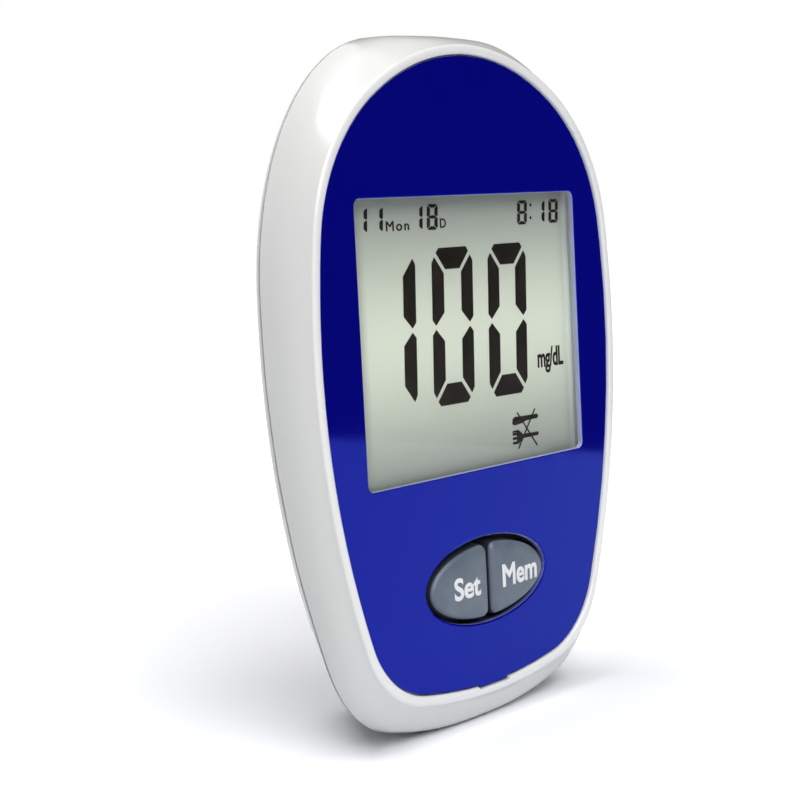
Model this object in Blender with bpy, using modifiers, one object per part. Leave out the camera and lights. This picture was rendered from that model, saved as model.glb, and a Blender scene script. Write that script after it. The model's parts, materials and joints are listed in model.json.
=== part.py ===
# Blood glucose meter: a white two-part housing, a blue faceplate with a display well and two keys, a test
# strip socket at the top end and two AAA cells behind a door in the back.
# Metres, +Z up. The meter stands on its lower end, the faceplate looks along -Y, X is the width.
# Depths are measured from the faceplate's surface into the body.

import bpy
import bmesh
from math import acos, asin, atan2, cos, pi, radians, sin
from mathutils import Matrix, Vector

# Body
BODY_LENGTH = 0.088
BODY_WIDTH = 0.064
BODY_DEPTH = 0.022
WALL = 0.0016
BASE_SAG = 0.0004
FIT = 0.0003
OVERRUN = 0.001
CUT_STEP = 0.0002

# Egg outlines of the faceplate and of the parting line: radii as shares of their length and sweeps in
# degrees, from the top middle to the bottom middle. A fifth arc on the middle line closes each half.
FACE_RADIUS_SHARES = (0.4015, 0.2930, 1.2690, 0.1568)
FACE_SWEEPS = (33.8, 48.3, 28.1, 59.0)
BODY_RADIUS_SHARES = (3.19, 0.334, 0.835, 0.178)
BODY_SWEEPS = (2.0, 82.4, 32.2, 52.0)
HEADING_BANDS = ((0.0, 2.0, 1), (2.0, 80.0, 17), (80.0, 110.0, 8), (110.0, 169.0, 10), (169.0, 180.0, 3))

# Lip and outer wall of the front shell
LIP_HEIGHT = 0.0004
LIP_WIDTH = 0.00135
LIP_INNER_ROUND = 0.0002
LIP_OUTER_ROUND = 0.0005
SIDE_MARGIN = 0.0028
CHIN_MARGIN = 0.0051
WALL_BULGE = 3.0
WALL_STEPS = 6
RELIEF_WIDTH = 0.0064
RELIEF_HEIGHT = 0.00025

# Parting line, nearer the faceplate at the lower end than at the top
SEAM_LOW_DEPTH = 0.0044
SEAM_TOP_DEPTH = 0.00785
TONGUE_LENGTH = 0.001
TONGUE_THICKNESS = 0.0008
NOTCH_HEIGHT_ABOVE_BASE = 0.0121
NOTCH_LENGTH = 0.0009
NOTCH_WIDTH = 0.0003
NOTCH_REACH = 0.0252

# Rear hull
EDGE_RADIUS = 0.0017
DOOR_SHOULDER = 0.0039
HULL_RADIUS = 0.4
BACK_RADIUS = 0.005
HEEL_RADIUS = 0.006
TOP_SLOPE_SHARE = 0.7
EDGE_STEPS = 3
HULL_STEPS = 4
BACK_STEPS = 3
BACK_TOP_POWER = 5.0
BACK_TOP_EASE = 3.0
BACK_LOW_POWER = 2.05
BACK_LOW_EASE = 0.65

# Faceplate and deck
FACEPLATE_THICKNESS = 0.0007
FACEPLATE_GAP = 0.00025
EDGE_GAP = 0.00015
DECK_THICKNESS = 0.0014
DECK_CORNER_SHARE = 0.4
CAVITY_STRAIGHT_DEPTH = 0.0036

# Display stack
WINDOW_SIDE_MARGIN = 0.00995
WINDOW_TOP_MARGIN = 0.0203
WINDOW_HEIGHT_ABOVE_BASE = 0.0329
WINDOW_CORNER = 0.0009
DISPLAY_BORDER = 0.0012
PANE_THICKNESS = 0.0006
PANE_CORNER = 0.0008
LCD_THICKNESS = 0.002
LCD_LEDGE = 0.003
HOLDER_RIM = 0.0014
HOLDER_SHELF = 0.0026
CONTACT_STRIP_WIDTH = 0.002
CONTACT_STRIP_SIDE_SPACE = 0.0033

# Keys
KEY_WINDOW_DISTANCE = 0.0142
KEY_OPENING_HALF_WIDTH = 0.01237
KEY_OPENING_HALF_HEIGHT = 0.0055
KEY_CLEARANCE = 0.00055
KEY_SPLIT = 0.00055
KEY_EDGE_RISE = 0.0002
KEY_CROWN = 0.00035
KEY_EDGE_ROUND = 0.0008
KEY_CORNER_RADIUS = 0.0012
KEY_PLATEAU_SHARE = 0.2
KEY_FLANGE_WIDTH = 0.0011
KEY_FLANGE_THICKNESS = 0.0007
KEY_FLANGE_STEP = 0.0001
KEY_STEM_RADIUS = 0.0015
KEY_STEM_LENGTH = 0.0008
KEY_ROUND_STEPS = 3
KEY_CROWN_STEPS = 3
KEY_CORNER_STEPS = 4
KEY_STEPS = 36

# Switches under the keys
SWITCH_OFFSET = 0.006
SWITCH_SIZE = 0.005
SWITCH_HEIGHT = 0.0017
PLUNGER_RADIUS = 0.0009
PLUNGER_LENGTH = 0.0011
SWITCH_FLOOR = 0.0003

# Circuit board
BOARD_SEAT = 0.0065
BOARD_THICKNESS = 0.001
BOARD_INSET = 0.0046
BOARD_HOLE_RADIUS = 0.0013
CHIP_SIZE = 0.01
CHIP_THICKNESS = 0.0012
CRYSTAL_RADIUS = 0.001
CRYSTAL_LENGTH = 0.006
CRYSTAL_OFFSET = 0.01
SOUNDER_RADIUS_SHARE = 0.278
SOUNDER_PLACE_SHARE = 0.3687
SOUNDER_THICKNESS = 0.0022
SOUNDER_TOP_MARGIN = 0.04
SOUNDER_VENT_RADIUS = 0.0012

# Test strip socket at the top end
STRIP_WIDTH = 0.0068
STRIP_SLOT = 0.0009
STRIP_DEPTH = 0.0049
SOCKET_WIDTH = 0.012
SOCKET_LENGTH = 0.0101
SOCKET_DEPTH = 0.0034
SOCKET_TOP_GAP = 0.0024
SOCKET_POCKET = 0.0075
MOUTH_WIDTH = 0.01
MOUTH_HEIGHT = 0.0018
MOUTH_LENGTH = 0.0013
STRIP_CONTACT_RADIUS = 0.00022
STRIP_CONTACT_PITCH = 0.002
STRIP_CONTACT_TAIL = 0.0014

# Cells and their bay
CELL_NUB_RADIUS = 0.0019
CELL_NUB_LENGTH = 0.0008
CELL_SHOULDER = 0.0006
CELL_STEPS = 24
SPRING_LENGTH = 0.0047
SPRING_WIRE_RADIUS = 0.00028
SPRING_BASE_SHARE = 0.61
SPRING_TIP_SHARE = 0.38
SPRING_TURNS = 4
SPRING_POINTS_PER_TURN = 9
CONTACT_PLATE_THICKNESS = 0.0004
CONTACT_PLATE_SIDE_INSET = 0.00055
CONTACT_PLATE_RIM_INSET = 0.00115
BAY_SIDE_CLEARANCE = 0.00035
BAY_FLOOR_THICKNESS = 0.001
BAY_LOW = 0.015
BAY_TOP_MARGIN = 0.0215
BAY_CORNER = 0.004
TUB_WALL = 0.0012

# Battery door
DOOR_THICKNESS = 0.0014
DOOR_OVERLAP = 0.0014
DOOR_TOP_CORNER = 0.004
DOOR_LOW_CORNER = 0.0065
DOOR_LEDGE = 0.001
DOOR_LEDGE_THICKNESS = 0.0013
LATCH_WIDTH = 0.009
LATCH_LENGTH = 0.0085
LATCH_SLOT = 0.0008
GRIP_COUNT = 3
GRIP_PITCH = 0.0016
GRIP_RADIUS = 0.0004
HOOK_OFFSET = 0.0045
HOOK_WIDTH = 0.0035
HOOK_REACH = 0.001
HOOK_THICKNESS = 0.001
HOOK_ROOT = 0.0012
HOOK_SLOT_SPACE = 0.0004
SCOOP_RADIUS = 0.006
SCOOP_DEPTH = 0.0008

# Screws, their bosses and wells
SCREW_UPPER_MARGINS = (0.0175, 0.012)
SCREW_LOWER_SIDE_SHARE = 0.29
SCREW_LOWER_HEIGHT_ABOVE_BASE = 0.017
BOSS_RADIUS = 0.0025
SCREW_RADIUS = 0.00075
SCREW_POINT_DEPTH = 0.0035
SCREW_HEAD_RADIUS = 0.0019
SCREW_HEAD_HEIGHT = 0.0013
SCREW_HEAD_ROUND = 0.0005
WELL_RADIUS = 0.0024
WELL_FLOOR = 0.0015
POST_WALL = 0.0012
ROUND_STEPS = 24

# Depths that follow from the sizes above
OVERALL_DEPTH = BODY_DEPTH + KEY_EDGE_RISE + KEY_CROWN - LIP_HEIGHT
BACK_DEPTH = BODY_DEPTH - LIP_HEIGHT
RECESS_DEPTH = FACEPLATE_THICKNESS + FACEPLATE_GAP
DECK_BACK = RECESS_DEPTH + DECK_THICKNESS
LCD_FRONT = RECESS_DEPTH + PANE_THICKNESS + FACEPLATE_GAP
LCD_BACK = LCD_FRONT + LCD_THICKNESS
BOARD_FRONT = BOARD_SEAT + FIT
BOARD_BACK = BOARD_FRONT + BOARD_THICKNESS
BAY_FLOOR_FRONT = BOARD_BACK + FIT
BAY_FLOOR = BAY_FLOOR_FRONT + BAY_FLOOR_THICKNESS
DOOR_INNER = BACK_DEPTH - DOOR_THICKNESS
CELL_RADIUS = (DOOR_INNER - BAY_FLOOR) / 2 - FIT
CELL_DEPTH = BAY_FLOOR + FIT + CELL_RADIUS
KEY_FLANGE_FRONT = DECK_BACK + FIT
KEY_FLANGE_BACK = KEY_FLANGE_FRONT + KEY_FLANGE_THICKNESS
STEM_END = KEY_FLANGE_BACK + KEY_STEM_LENGTH
SWITCH_FRONT = BOARD_SEAT - SWITCH_HEIGHT
WELL_DEPTH = BAY_FLOOR_FRONT + WELL_FLOOR
HEAD_DEPTH = WELL_DEPTH + FIT

# Places that follow
CELL_SPACING = 2 * CELL_RADIUS + FIT
SPRING_BASE_RADIUS = CELL_RADIUS * SPRING_BASE_SHARE
SPRING_TIP_RADIUS = CELL_RADIUS * SPRING_TIP_SHARE
CONTACT_HALF_WIDTH = CELL_RADIUS - CONTACT_PLATE_SIDE_INSET
CONTACT_HALF_HEIGHT = CELL_RADIUS - CONTACT_PLATE_RIM_INSET
BAY_HALF_WIDTH = CELL_SPACING / 2 + CELL_RADIUS + BAY_SIDE_CLEARANCE
BAY_HIGH = BODY_LENGTH - BAY_TOP_MARGIN
BRIDGE_LOW = BAY_LOW + FIT
BRIDGE_HIGH = BRIDGE_LOW + CONTACT_PLATE_THICKNESS
SPRING_SPACE = SPRING_LENGTH + 2 * FIT
LEFT_CELL_LOW = BRIDGE_HIGH + SPRING_SPACE
RIGHT_CELL_LOW = BRIDGE_HIGH + FIT
TERMINAL_LOW = BAY_HIGH - FIT - CONTACT_PLATE_THICKNESS
CELL_LENGTH = TERMINAL_LOW - FIT - LEFT_CELL_LOW
DOOR_HALF_WIDTH = BAY_HALF_WIDTH + DOOR_OVERLAP
DOOR_FRAME_HALF_WIDTH = DOOR_HALF_WIDTH + FIT + DOOR_LEDGE
HULL_ANGLE = atan2(BODY_WIDTH / 2 - DOOR_HALF_WIDTH - DOOR_SHOULDER, BODY_DEPTH - SEAM_TOP_DEPTH)
DOOR_LOW = BAY_LOW - DOOR_OVERLAP
DOOR_HIGH = BAY_HIGH + DOOR_OVERLAP
KEY_HEIGHT_ABOVE_BASE = WINDOW_HEIGHT_ABOVE_BASE - KEY_WINDOW_DISTANCE
WINDOW_HALF_WIDTH = BODY_WIDTH / 2 - WINDOW_SIDE_MARGIN
WINDOW_HIGH = BODY_LENGTH - WINDOW_TOP_MARGIN
WINDOW_MIDDLE = (WINDOW_HEIGHT_ABOVE_BASE + WINDOW_HIGH) / 2
LCD_HALF_WIDTH = WINDOW_HALF_WIDTH + DISPLAY_BORDER
LCD_LOW = WINDOW_HEIGHT_ABOVE_BASE - DISPLAY_BORDER - LCD_LEDGE
LCD_HIGH = WINDOW_HIGH + DISPLAY_BORDER
CRYSTAL_LOW = LCD_HIGH - HOLDER_SHELF - FIT - CRYSTAL_LENGTH
BAY_SIDE_ROOM = BODY_WIDTH / 2 - BAY_HALF_WIDTH - TUB_WALL
SOUNDER_RADIUS = BAY_SIDE_ROOM * SOUNDER_RADIUS_SHARE
SOUNDER_X = -BAY_HALF_WIDTH - TUB_WALL - BAY_SIDE_ROOM * SOUNDER_PLACE_SHARE
SOUNDER_Z = BODY_LENGTH - SOUNDER_TOP_MARGIN
SCREW_UPPER = (BODY_WIDTH / 2 - SCREW_UPPER_MARGINS[0], BODY_LENGTH - SCREW_UPPER_MARGINS[1])
SCREW_SIDE_ROOM = BODY_WIDTH / 2 - DOOR_FRAME_HALF_WIDTH
SCREW_LOWER_X = DOOR_FRAME_HALF_WIDTH + SCREW_SIDE_ROOM * SCREW_LOWER_SIDE_SHARE
SCREW_LOWER = (SCREW_LOWER_X, SCREW_LOWER_HEIGHT_ABOVE_BASE)
SCREW_PLACES = [(side * x, z) for x, z in (SCREW_UPPER, SCREW_LOWER) for side in (-1, 1)]

for old in list(bpy.data.objects):
    bpy.data.objects.remove(old, do_unlink=True)

parts = bpy.data.collections.new("blood_glucose_meter")
cutters = bpy.data.collections.new("cutters")
bpy.context.scene.collection.children.link(parts)
bpy.context.scene.collection.children.link(cutters)


def y_at(depth):
    return depth - BACK_DEPTH + OVERALL_DEPTH / 2


def make_material(name, colour, roughness, metallic=0.0):
    material = bpy.data.materials.new(name)
    material.use_nodes = True
    shader = material.node_tree.nodes["Principled BSDF"]
    shader.inputs["Base Color"].default_value = (*colour, 1.0)
    shader.inputs["Roughness"].default_value = roughness
    shader.inputs["Metallic"].default_value = metallic
    material.diffuse_color = (*colour, 1.0)
    return material


WHITE = make_material("white_housing", (0.86, 0.87, 0.88), 0.25)
BLUE = make_material("blue_faceplate", (0.012, 0.016, 0.33), 0.08)
CLEAR = make_material("clear_pane", (0.9, 0.93, 0.92), 0.05)
DISPLAY = make_material("display_grey", (0.55, 0.58, 0.52), 0.3)
KEY_GREY = make_material("key_grey", (0.14, 0.18, 0.23), 0.45)
BLACK = make_material("black_plastic", (0.03, 0.03, 0.035), 0.5)
RUBBER = make_material("contact_rubber", (0.5, 0.32, 0.3), 0.7)
BOARD = make_material("board_green", (0.02, 0.16, 0.06), 0.4)
NICKEL = make_material("nickel", (0.75, 0.73, 0.68), 0.3, 1.0)
GOLD = make_material("gold_contact", (0.85, 0.62, 0.25), 0.3, 1.0)
STEEL = make_material("screw_steel", (0.6, 0.6, 0.62), 0.35, 1.0)
CELL = make_material("cell_sleeve", (0.08, 0.09, 0.11), 0.35)


def add_object(name, mesh, material=None):
    made = bpy.data.objects.new(name, mesh)
    if material is None:
        made.hide_render = True
        made.display_type = "WIRE"
        cutters.objects.link(made)
    else:
        made.data.materials.clear()
        made.data.materials.append(material)
        parts.objects.link(made)
    return made


def smooth(target, angle=30.0):
    target.data.shade_smooth()
    target.data.set_sharp_from_angle(angle=radians(angle))
    return target


def evaluated_mesh(target):
    bpy.context.view_layer.update()
    graph = bpy.context.evaluated_depsgraph_get()
    return bpy.data.meshes.new_from_object(target.evaluated_get(graph), depsgraph=graph)


def boolean(target, cutter, operation="DIFFERENCE"):
    change = target.modifiers.new(operation.lower() + "_" + cutter.name, "BOOLEAN")
    change.operation = operation
    change.solver = "EXACT"
    change.object = cutter
    return target


def box(name, x_range, depth_range, z_range, material=None, bevel=0.0):
    mesh = bpy.data.meshes.new(name)
    shape = bmesh.new()
    bmesh.ops.create_cube(shape, size=1.0)
    ranges = (x_range, [y_at(depth) for depth in depth_range], z_range)
    for vertex in shape.verts:
        for axis, (low, high) in enumerate(ranges):
            vertex.co[axis] = low + (high - low) * (vertex.co[axis] + 0.5)
    shape.to_mesh(mesh)
    shape.free()
    made = add_object(name, mesh, material)
    if bevel:
        rounding = made.modifiers.new("rounding", "BEVEL")
        rounding.width = bevel
        rounding.segments = 2
    return made


def rod(name, x, z, depth_range, radius, material=None, steps=ROUND_STEPS):
    mesh = bpy.data.meshes.new(name)
    shape = bmesh.new()
    length = depth_range[1] - depth_range[0]
    bmesh.ops.create_cone(
        shape, cap_ends=True, segments=steps, radius1=radius, radius2=radius, depth=length
    )
    shape.to_mesh(mesh)
    shape.free()
    made = add_object(name, mesh, material)
    made.rotation_euler = (pi / 2, 0.0, 0.0)
    made.location = (x, y_at(sum(depth_range) / 2), z)
    return made


def turned(name, profile, steps, material=None):
    # The profile's (radius, height) points run down its outer side and are turned about local Z.
    mesh = bpy.data.meshes.new(name)
    points = [(radius, 0.0, height) for radius, height in profile]
    mesh.from_pydata(points, [(i, i + 1) for i in range(len(points) - 1)], [])
    made = add_object(name, mesh, material)
    turn = made.modifiers.new("turn", "SCREW")
    turn.steps = steps
    turn.render_steps = steps
    turn.use_merge_vertices = True
    turn.merge_threshold = FIT / 100
    turn.use_smooth_shade = True
    return made


def tube(name, points, radius, material):
    curve = bpy.data.curves.new(name, "CURVE")
    curve.dimensions = "3D"
    line = curve.splines.new("POLY")
    line.points.add(len(points) - 1)
    for point, place in zip(line.points, points):
        point.co = (*place, 1.0)
    curve.bevel_depth = radius
    curve.bevel_resolution = 1
    curve.use_fill_caps = True
    return add_object(name, curve, material)


def plate(name, loops, depth_range, material):
    # The first loop is the outline and the others are holes, each as (x, z) points.
    curve = bpy.data.curves.new(name, "CURVE")
    curve.dimensions = "2D"
    curve.fill_mode = "BOTH"
    curve.extrude = (depth_range[1] - depth_range[0]) / 2
    for loop in loops:
        line = curve.splines.new("POLY")
        line.points.add(len(loop) - 1)
        for point, (x, z) in zip(line.points, loop):
            point.co = (x, z, 0.0, 1.0)
        line.use_cyclic_u = True
    guide = add_object(name + "_curve", curve)
    mesh = evaluated_mesh(guide)
    bpy.data.objects.remove(guide)
    shape = bmesh.new()
    shape.from_mesh(mesh)
    bmesh.ops.remove_doubles(shape, verts=shape.verts, dist=FIT / 100)
    bmesh.ops.recalc_face_normals(shape, faces=shape.faces)
    shape.to_mesh(mesh)
    shape.free()
    made = add_object(name, mesh, material)
    made.rotation_euler = (pi / 2, 0.0, 0.0)
    made.location = (0.0, y_at(sum(depth_range) / 2), 0.0)
    return made


def loft(name, rings, material=None):
    # Closed skin over rings of equally many points, with a flat cap on the first and the last.
    count = len(rings[0])
    mesh = bpy.data.meshes.new(name)
    shape = bmesh.new()
    rows = [[shape.verts.new(point) for point in ring] for ring in rings]
    for near, far in zip(rows, rows[1:]):
        for i in range(count):
            after = (i + 1) % count
            shape.faces.new((near[i], near[after], far[after], far[i]))
    shape.faces.new(rows[0])
    shape.faces.new(list(reversed(rows[-1])))
    bmesh.ops.recalc_face_normals(shape, faces=shape.faces)
    shape.to_mesh(mesh)
    shape.free()
    return add_object(name, mesh, material)


def rounded_rectangle(x_range, z_range, top_radius, low_radius=None, steps=5):
    loop = []
    corners = ((1, 1, 0.0), (0, 1, pi / 2), (0, 0, pi), (1, 0, 3 * pi / 2))
    for right, top, start in corners:
        radius = top_radius if top or low_radius is None else low_radius
        x = x_range[right] + (radius if right == 0 else -radius)
        z = z_range[top] + (radius if top == 0 else -radius)
        for i in range(steps + 1):
            angle = start + pi / 2 * i / steps
            loop.append((x + radius * cos(angle), z + radius * sin(angle)))
    return loop


def ellipse(x, z, half_width, half_height, steps=KEY_STEPS):
    turns = [2 * pi * i / steps for i in range(steps)]
    return [(x + half_width * cos(turn), z + half_height * sin(turn)) for turn in turns]


def outline_shares(radius_shares, sweeps):
    # Points from -1 to 1 across and up, clockwise seen from the front, from the top middle. Both outlines
    # have a point at each heading, so that they can be mixed point by point.
    arcs = []
    x, z, start = 0.0, 0.0, 0.0
    for radius, sweep in zip(radius_shares, sweeps):
        middle_x, middle_z = x - radius * sin(start), z - radius * cos(start)
        start += radians(sweep)
        arcs.append((start, radius, middle_x, middle_z))
        x, z = middle_x + radius * sin(start), middle_z + radius * cos(start)
    closing = x / sin(start)
    arcs.append((2 * pi, closing, 0.0, z - closing * cos(start)))
    headings = [0.0]
    for low, high, steps in HEADING_BANDS:
        headings += [radians(low + (high - low) * i / steps) for i in range(1, steps + 1)]
    half = []
    for heading in headings:
        end, radius, middle_x, middle_z = next(arc for arc in arcs if heading <= arc[0])
        half.append((middle_x + radius * sin(heading), middle_z + radius * cos(heading)))
    widest = max(across for across, up in half)
    tall = -half[-1][1]
    right = [(across / widest, 1 + 2 * up / tall) for across, up in half]
    left = [(-across, up) for across, up in reversed(right[1:-1])]
    return right + left


FACE_SHARES = outline_shares(FACE_RADIUS_SHARES, FACE_SWEEPS)
BODY_SHARES = outline_shares(BODY_RADIUS_SHARES, BODY_SWEEPS)


def placed(shares, side_inset, low_inset, top_inset):
    # An outline drawn in from the body's widest box and cut level at the resting face.
    half = BODY_WIDTH / 2 - side_inset
    low = low_inset - BASE_SAG
    tall = (BODY_LENGTH - top_inset - low) / 2
    return [(half * across, max(low + tall * (1 + up), 0.0)) for across, up in shares]


def face_outline(inset=0.0):
    return placed(FACE_SHARES, SIDE_MARGIN + inset, CHIN_MARGIN + BASE_SAG + inset, SIDE_MARGIN + inset)


def body_outline(inset=0.0):
    return placed(BODY_SHARES, inset, inset, inset)


def mixed(near, far, share):
    return [
        (x + (far_x - x) * share, z + (far_z - z) * share)
        for (x, z), (far_x, far_z) in zip(near, far)
    ]


def seam_at(z):
    return SEAM_LOW_DEPTH + (SEAM_TOP_DEPTH - SEAM_LOW_DEPTH) * z / BODY_LENGTH


SEAM_DEPTH = seam_at(BODY_LENGTH / 2)


def ring(loop, depth):
    return [Vector((x, y_at(depth), z)) for x, z in loop]


def seam_ring(loop, beyond=0.0, share=1.0, start=0.0):
    # A ring a share of the way from the depth start to the parting line, and beyond it by a length.
    return [Vector((x, y_at(start + (seam_at(z) - start) * share + beyond), z)) for x, z in loop]


def hull_arcs(wall=0.0):
    # Radius, start and end angle of the rear hull's edge, flank and back rounding, or of its inner face.
    flank_depth = BACK_DEPTH - SEAM_DEPTH - EDGE_RADIUS * sin(HULL_ANGLE) - BACK_RADIUS
    back = asin((flank_depth + HULL_RADIUS * sin(HULL_ANGLE)) / (HULL_RADIUS - BACK_RADIUS))
    return (
        (EDGE_RADIUS - wall, 0.0, HULL_ANGLE, EDGE_STEPS),
        (HULL_RADIUS - wall, HULL_ANGLE, back, HULL_STEPS),
        (BACK_RADIUS - wall, back, pi / 2, BACK_STEPS),
    )


def heel_inset(depth, wall=0.0):
    # Inset of the lower end, upright until the heel's arc.
    radius = HEEL_RADIUS - wall
    rise = min(1.0, max(0.0, depth - (BACK_DEPTH - HEEL_RADIUS)) / radius)
    return wall + radius * (1 - cos(asin(rise)))


def back_shares(share):
    # The body's outline squared out at its upper corners and drawn in at its lower ones.
    shares = []
    for across, up in BODY_SHARES:
        turn = atan2(up, across)
        power, ease = (BACK_TOP_POWER, BACK_TOP_EASE) if up > 0 else (BACK_LOW_POWER, BACK_LOW_EASE)
        reach = (abs(cos(turn)) ** power + abs(sin(turn)) ** power) ** (-1 / power)
        weight = share ** ease
        shares.append((
            across + (reach * cos(turn) - across) * weight,
            up + (reach * sin(turn) - up) * weight,
        ))
    return shares


def hull_rings(wall=0.0):
    # Rings of the rear hull from its edge to its flat back, or of its inner face when a wall is given.
    rings = []
    inset, depth = wall, SEAM_DEPTH
    back = BACK_DEPTH - wall
    for radius, start, end, steps in hull_arcs(wall):
        for i in range(1, steps + 1):
            turn = start + (end - start) * i / steps
            side = inset + radius * (cos(start) - cos(turn))
            reached = depth + radius * (sin(turn) - sin(start))
            share = (reached - SEAM_DEPTH) / (back - SEAM_DEPTH)
            top = wall + (side - wall) * TOP_SLOPE_SHARE
            rings.append([
                Vector((x, y_at(seam_at(z) + (back - seam_at(z)) * share), z))
                for x, z in placed(back_shares(share), side, heel_inset(reached, wall), top)
            ])
        inset, depth = side, reached
    return rings


def front_shell_skin():
    lip_top = -LIP_HEIGHT
    rings = [ring(face_outline(), RECESS_DEPTH), ring(face_outline(), lip_top + LIP_INNER_ROUND)]
    rings.append(ring(face_outline(-LIP_INNER_ROUND), lip_top))
    for turn in (0.0, pi / 6, pi / 3):
        outward = LIP_WIDTH - LIP_OUTER_ROUND * (1 - sin(turn))
        rings.append(ring(face_outline(-outward), lip_top + LIP_OUTER_ROUND * (1 - cos(turn))))
    start = lip_top + LIP_OUTER_ROUND
    for i in range(WALL_STEPS + 1):
        share = i / WALL_STEPS
        loop = mixed(face_outline(-LIP_WIDTH), body_outline(), 1 - (1 - share) ** WALL_BULGE)
        rings.append(seam_ring(loop, 0.0, share, start))
    return rings


def make_front_housing():
    housing = loft("front_housing", front_shell_skin(), WHITE)
    inner_loop = body_outline(WALL)
    deck_loop = mixed(face_outline(), inner_loop, DECK_CORNER_SHARE)
    cavity = loft("front_cavity", [
        ring(deck_loop, DECK_BACK),
        ring(inner_loop, CAVITY_STRAIGHT_DEPTH),
        ring(inner_loop, SEAM_TOP_DEPTH + OVERRUN),
    ])
    for index, (x, z) in enumerate(SCREW_PLACES):
        boss = rod(f"front_boss_{index}", x, z, (RECESS_DEPTH, BOARD_SEAT), BOSS_RADIUS)
        boolean(cavity, boss)
    boolean(housing, cavity)
    for index, (x, z) in enumerate(SCREW_PLACES):
        hole = (SCREW_POINT_DEPTH - FIT, BOARD_SEAT + OVERRUN)
        boolean(housing, rod(f"pilot_{index}", x, z, hole, SCREW_RADIUS + FIT))
    through = (-OVERRUN, DECK_BACK + OVERRUN)
    well_x = LCD_HALF_WIDTH + FIT
    boolean(housing, box("display_well", (-well_x, well_x), through, (LCD_LOW - FIT, LCD_HIGH + FIT)))
    opening = ellipse(0.0, KEY_HEIGHT_ABOVE_BASE, KEY_OPENING_HALF_WIDTH, KEY_OPENING_HALF_HEIGHT)
    key_well = loft("key_well", [ring(opening, depth) for depth in through])
    boolean(housing, key_well)
    relief_x = RELIEF_WIDTH / 2
    relief_z = (CHIN_MARGIN - RELIEF_HEIGHT, CHIN_MARGIN + OVERRUN)
    relief_depths = (-LIP_HEIGHT - OVERRUN, RECESS_DEPTH)
    boolean(housing, box("lip_relief", (-relief_x, relief_x), relief_depths, relief_z))
    boolean(housing, strip_mouth())
    for side in (-1, 1):
        beyond = side * BODY_WIDTH
        middle = NOTCH_HEIGHT_ABOVE_BASE
        notch_depths = (seam_at(middle) - NOTCH_LENGTH, seam_at(middle) + OVERRUN)
        notch_x = sorted((side * NOTCH_REACH, beyond))
        notch_z = (middle - NOTCH_WIDTH / 2, middle + NOTCH_WIDTH / 2)
        boolean(housing, box(f"parting_notch_{side}", notch_x, notch_depths, notch_z))
    return smooth(housing)


def strip_mouth():
    # The slot through the top wall, flared to a wider mouth outside.
    top = BODY_LENGTH + OVERRUN
    throat = STRIP_WIDTH / 2 + FIT, STRIP_SLOT / 2 + FIT / 2
    mouth = MOUTH_WIDTH / 2, MOUTH_HEIGHT / 2
    places = (
        (BODY_LENGTH - WALL - OVERRUN, throat),
        (BODY_LENGTH - MOUTH_LENGTH, throat),
        (BODY_LENGTH, mouth),
        (top, mouth),
    )
    rings = []
    for z, (half_width, half_height) in places:
        sides = ((-1, -1), (1, -1), (1, 1), (-1, 1))
        rings.append([
            Vector((across * half_width, y_at(STRIP_DEPTH + deep * half_height), z))
            for across, deep in sides
        ])
    return loft("strip_mouth", rings)


def rear_shell_skin():
    tongue = WALL + FIT
    tongue_loop = body_outline(tongue)
    rings = [
        seam_ring(tongue_loop, -TONGUE_LENGTH),
        seam_ring(tongue_loop, FIT),
        seam_ring(body_outline(), FIT),
    ]
    return rings + hull_rings()


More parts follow.
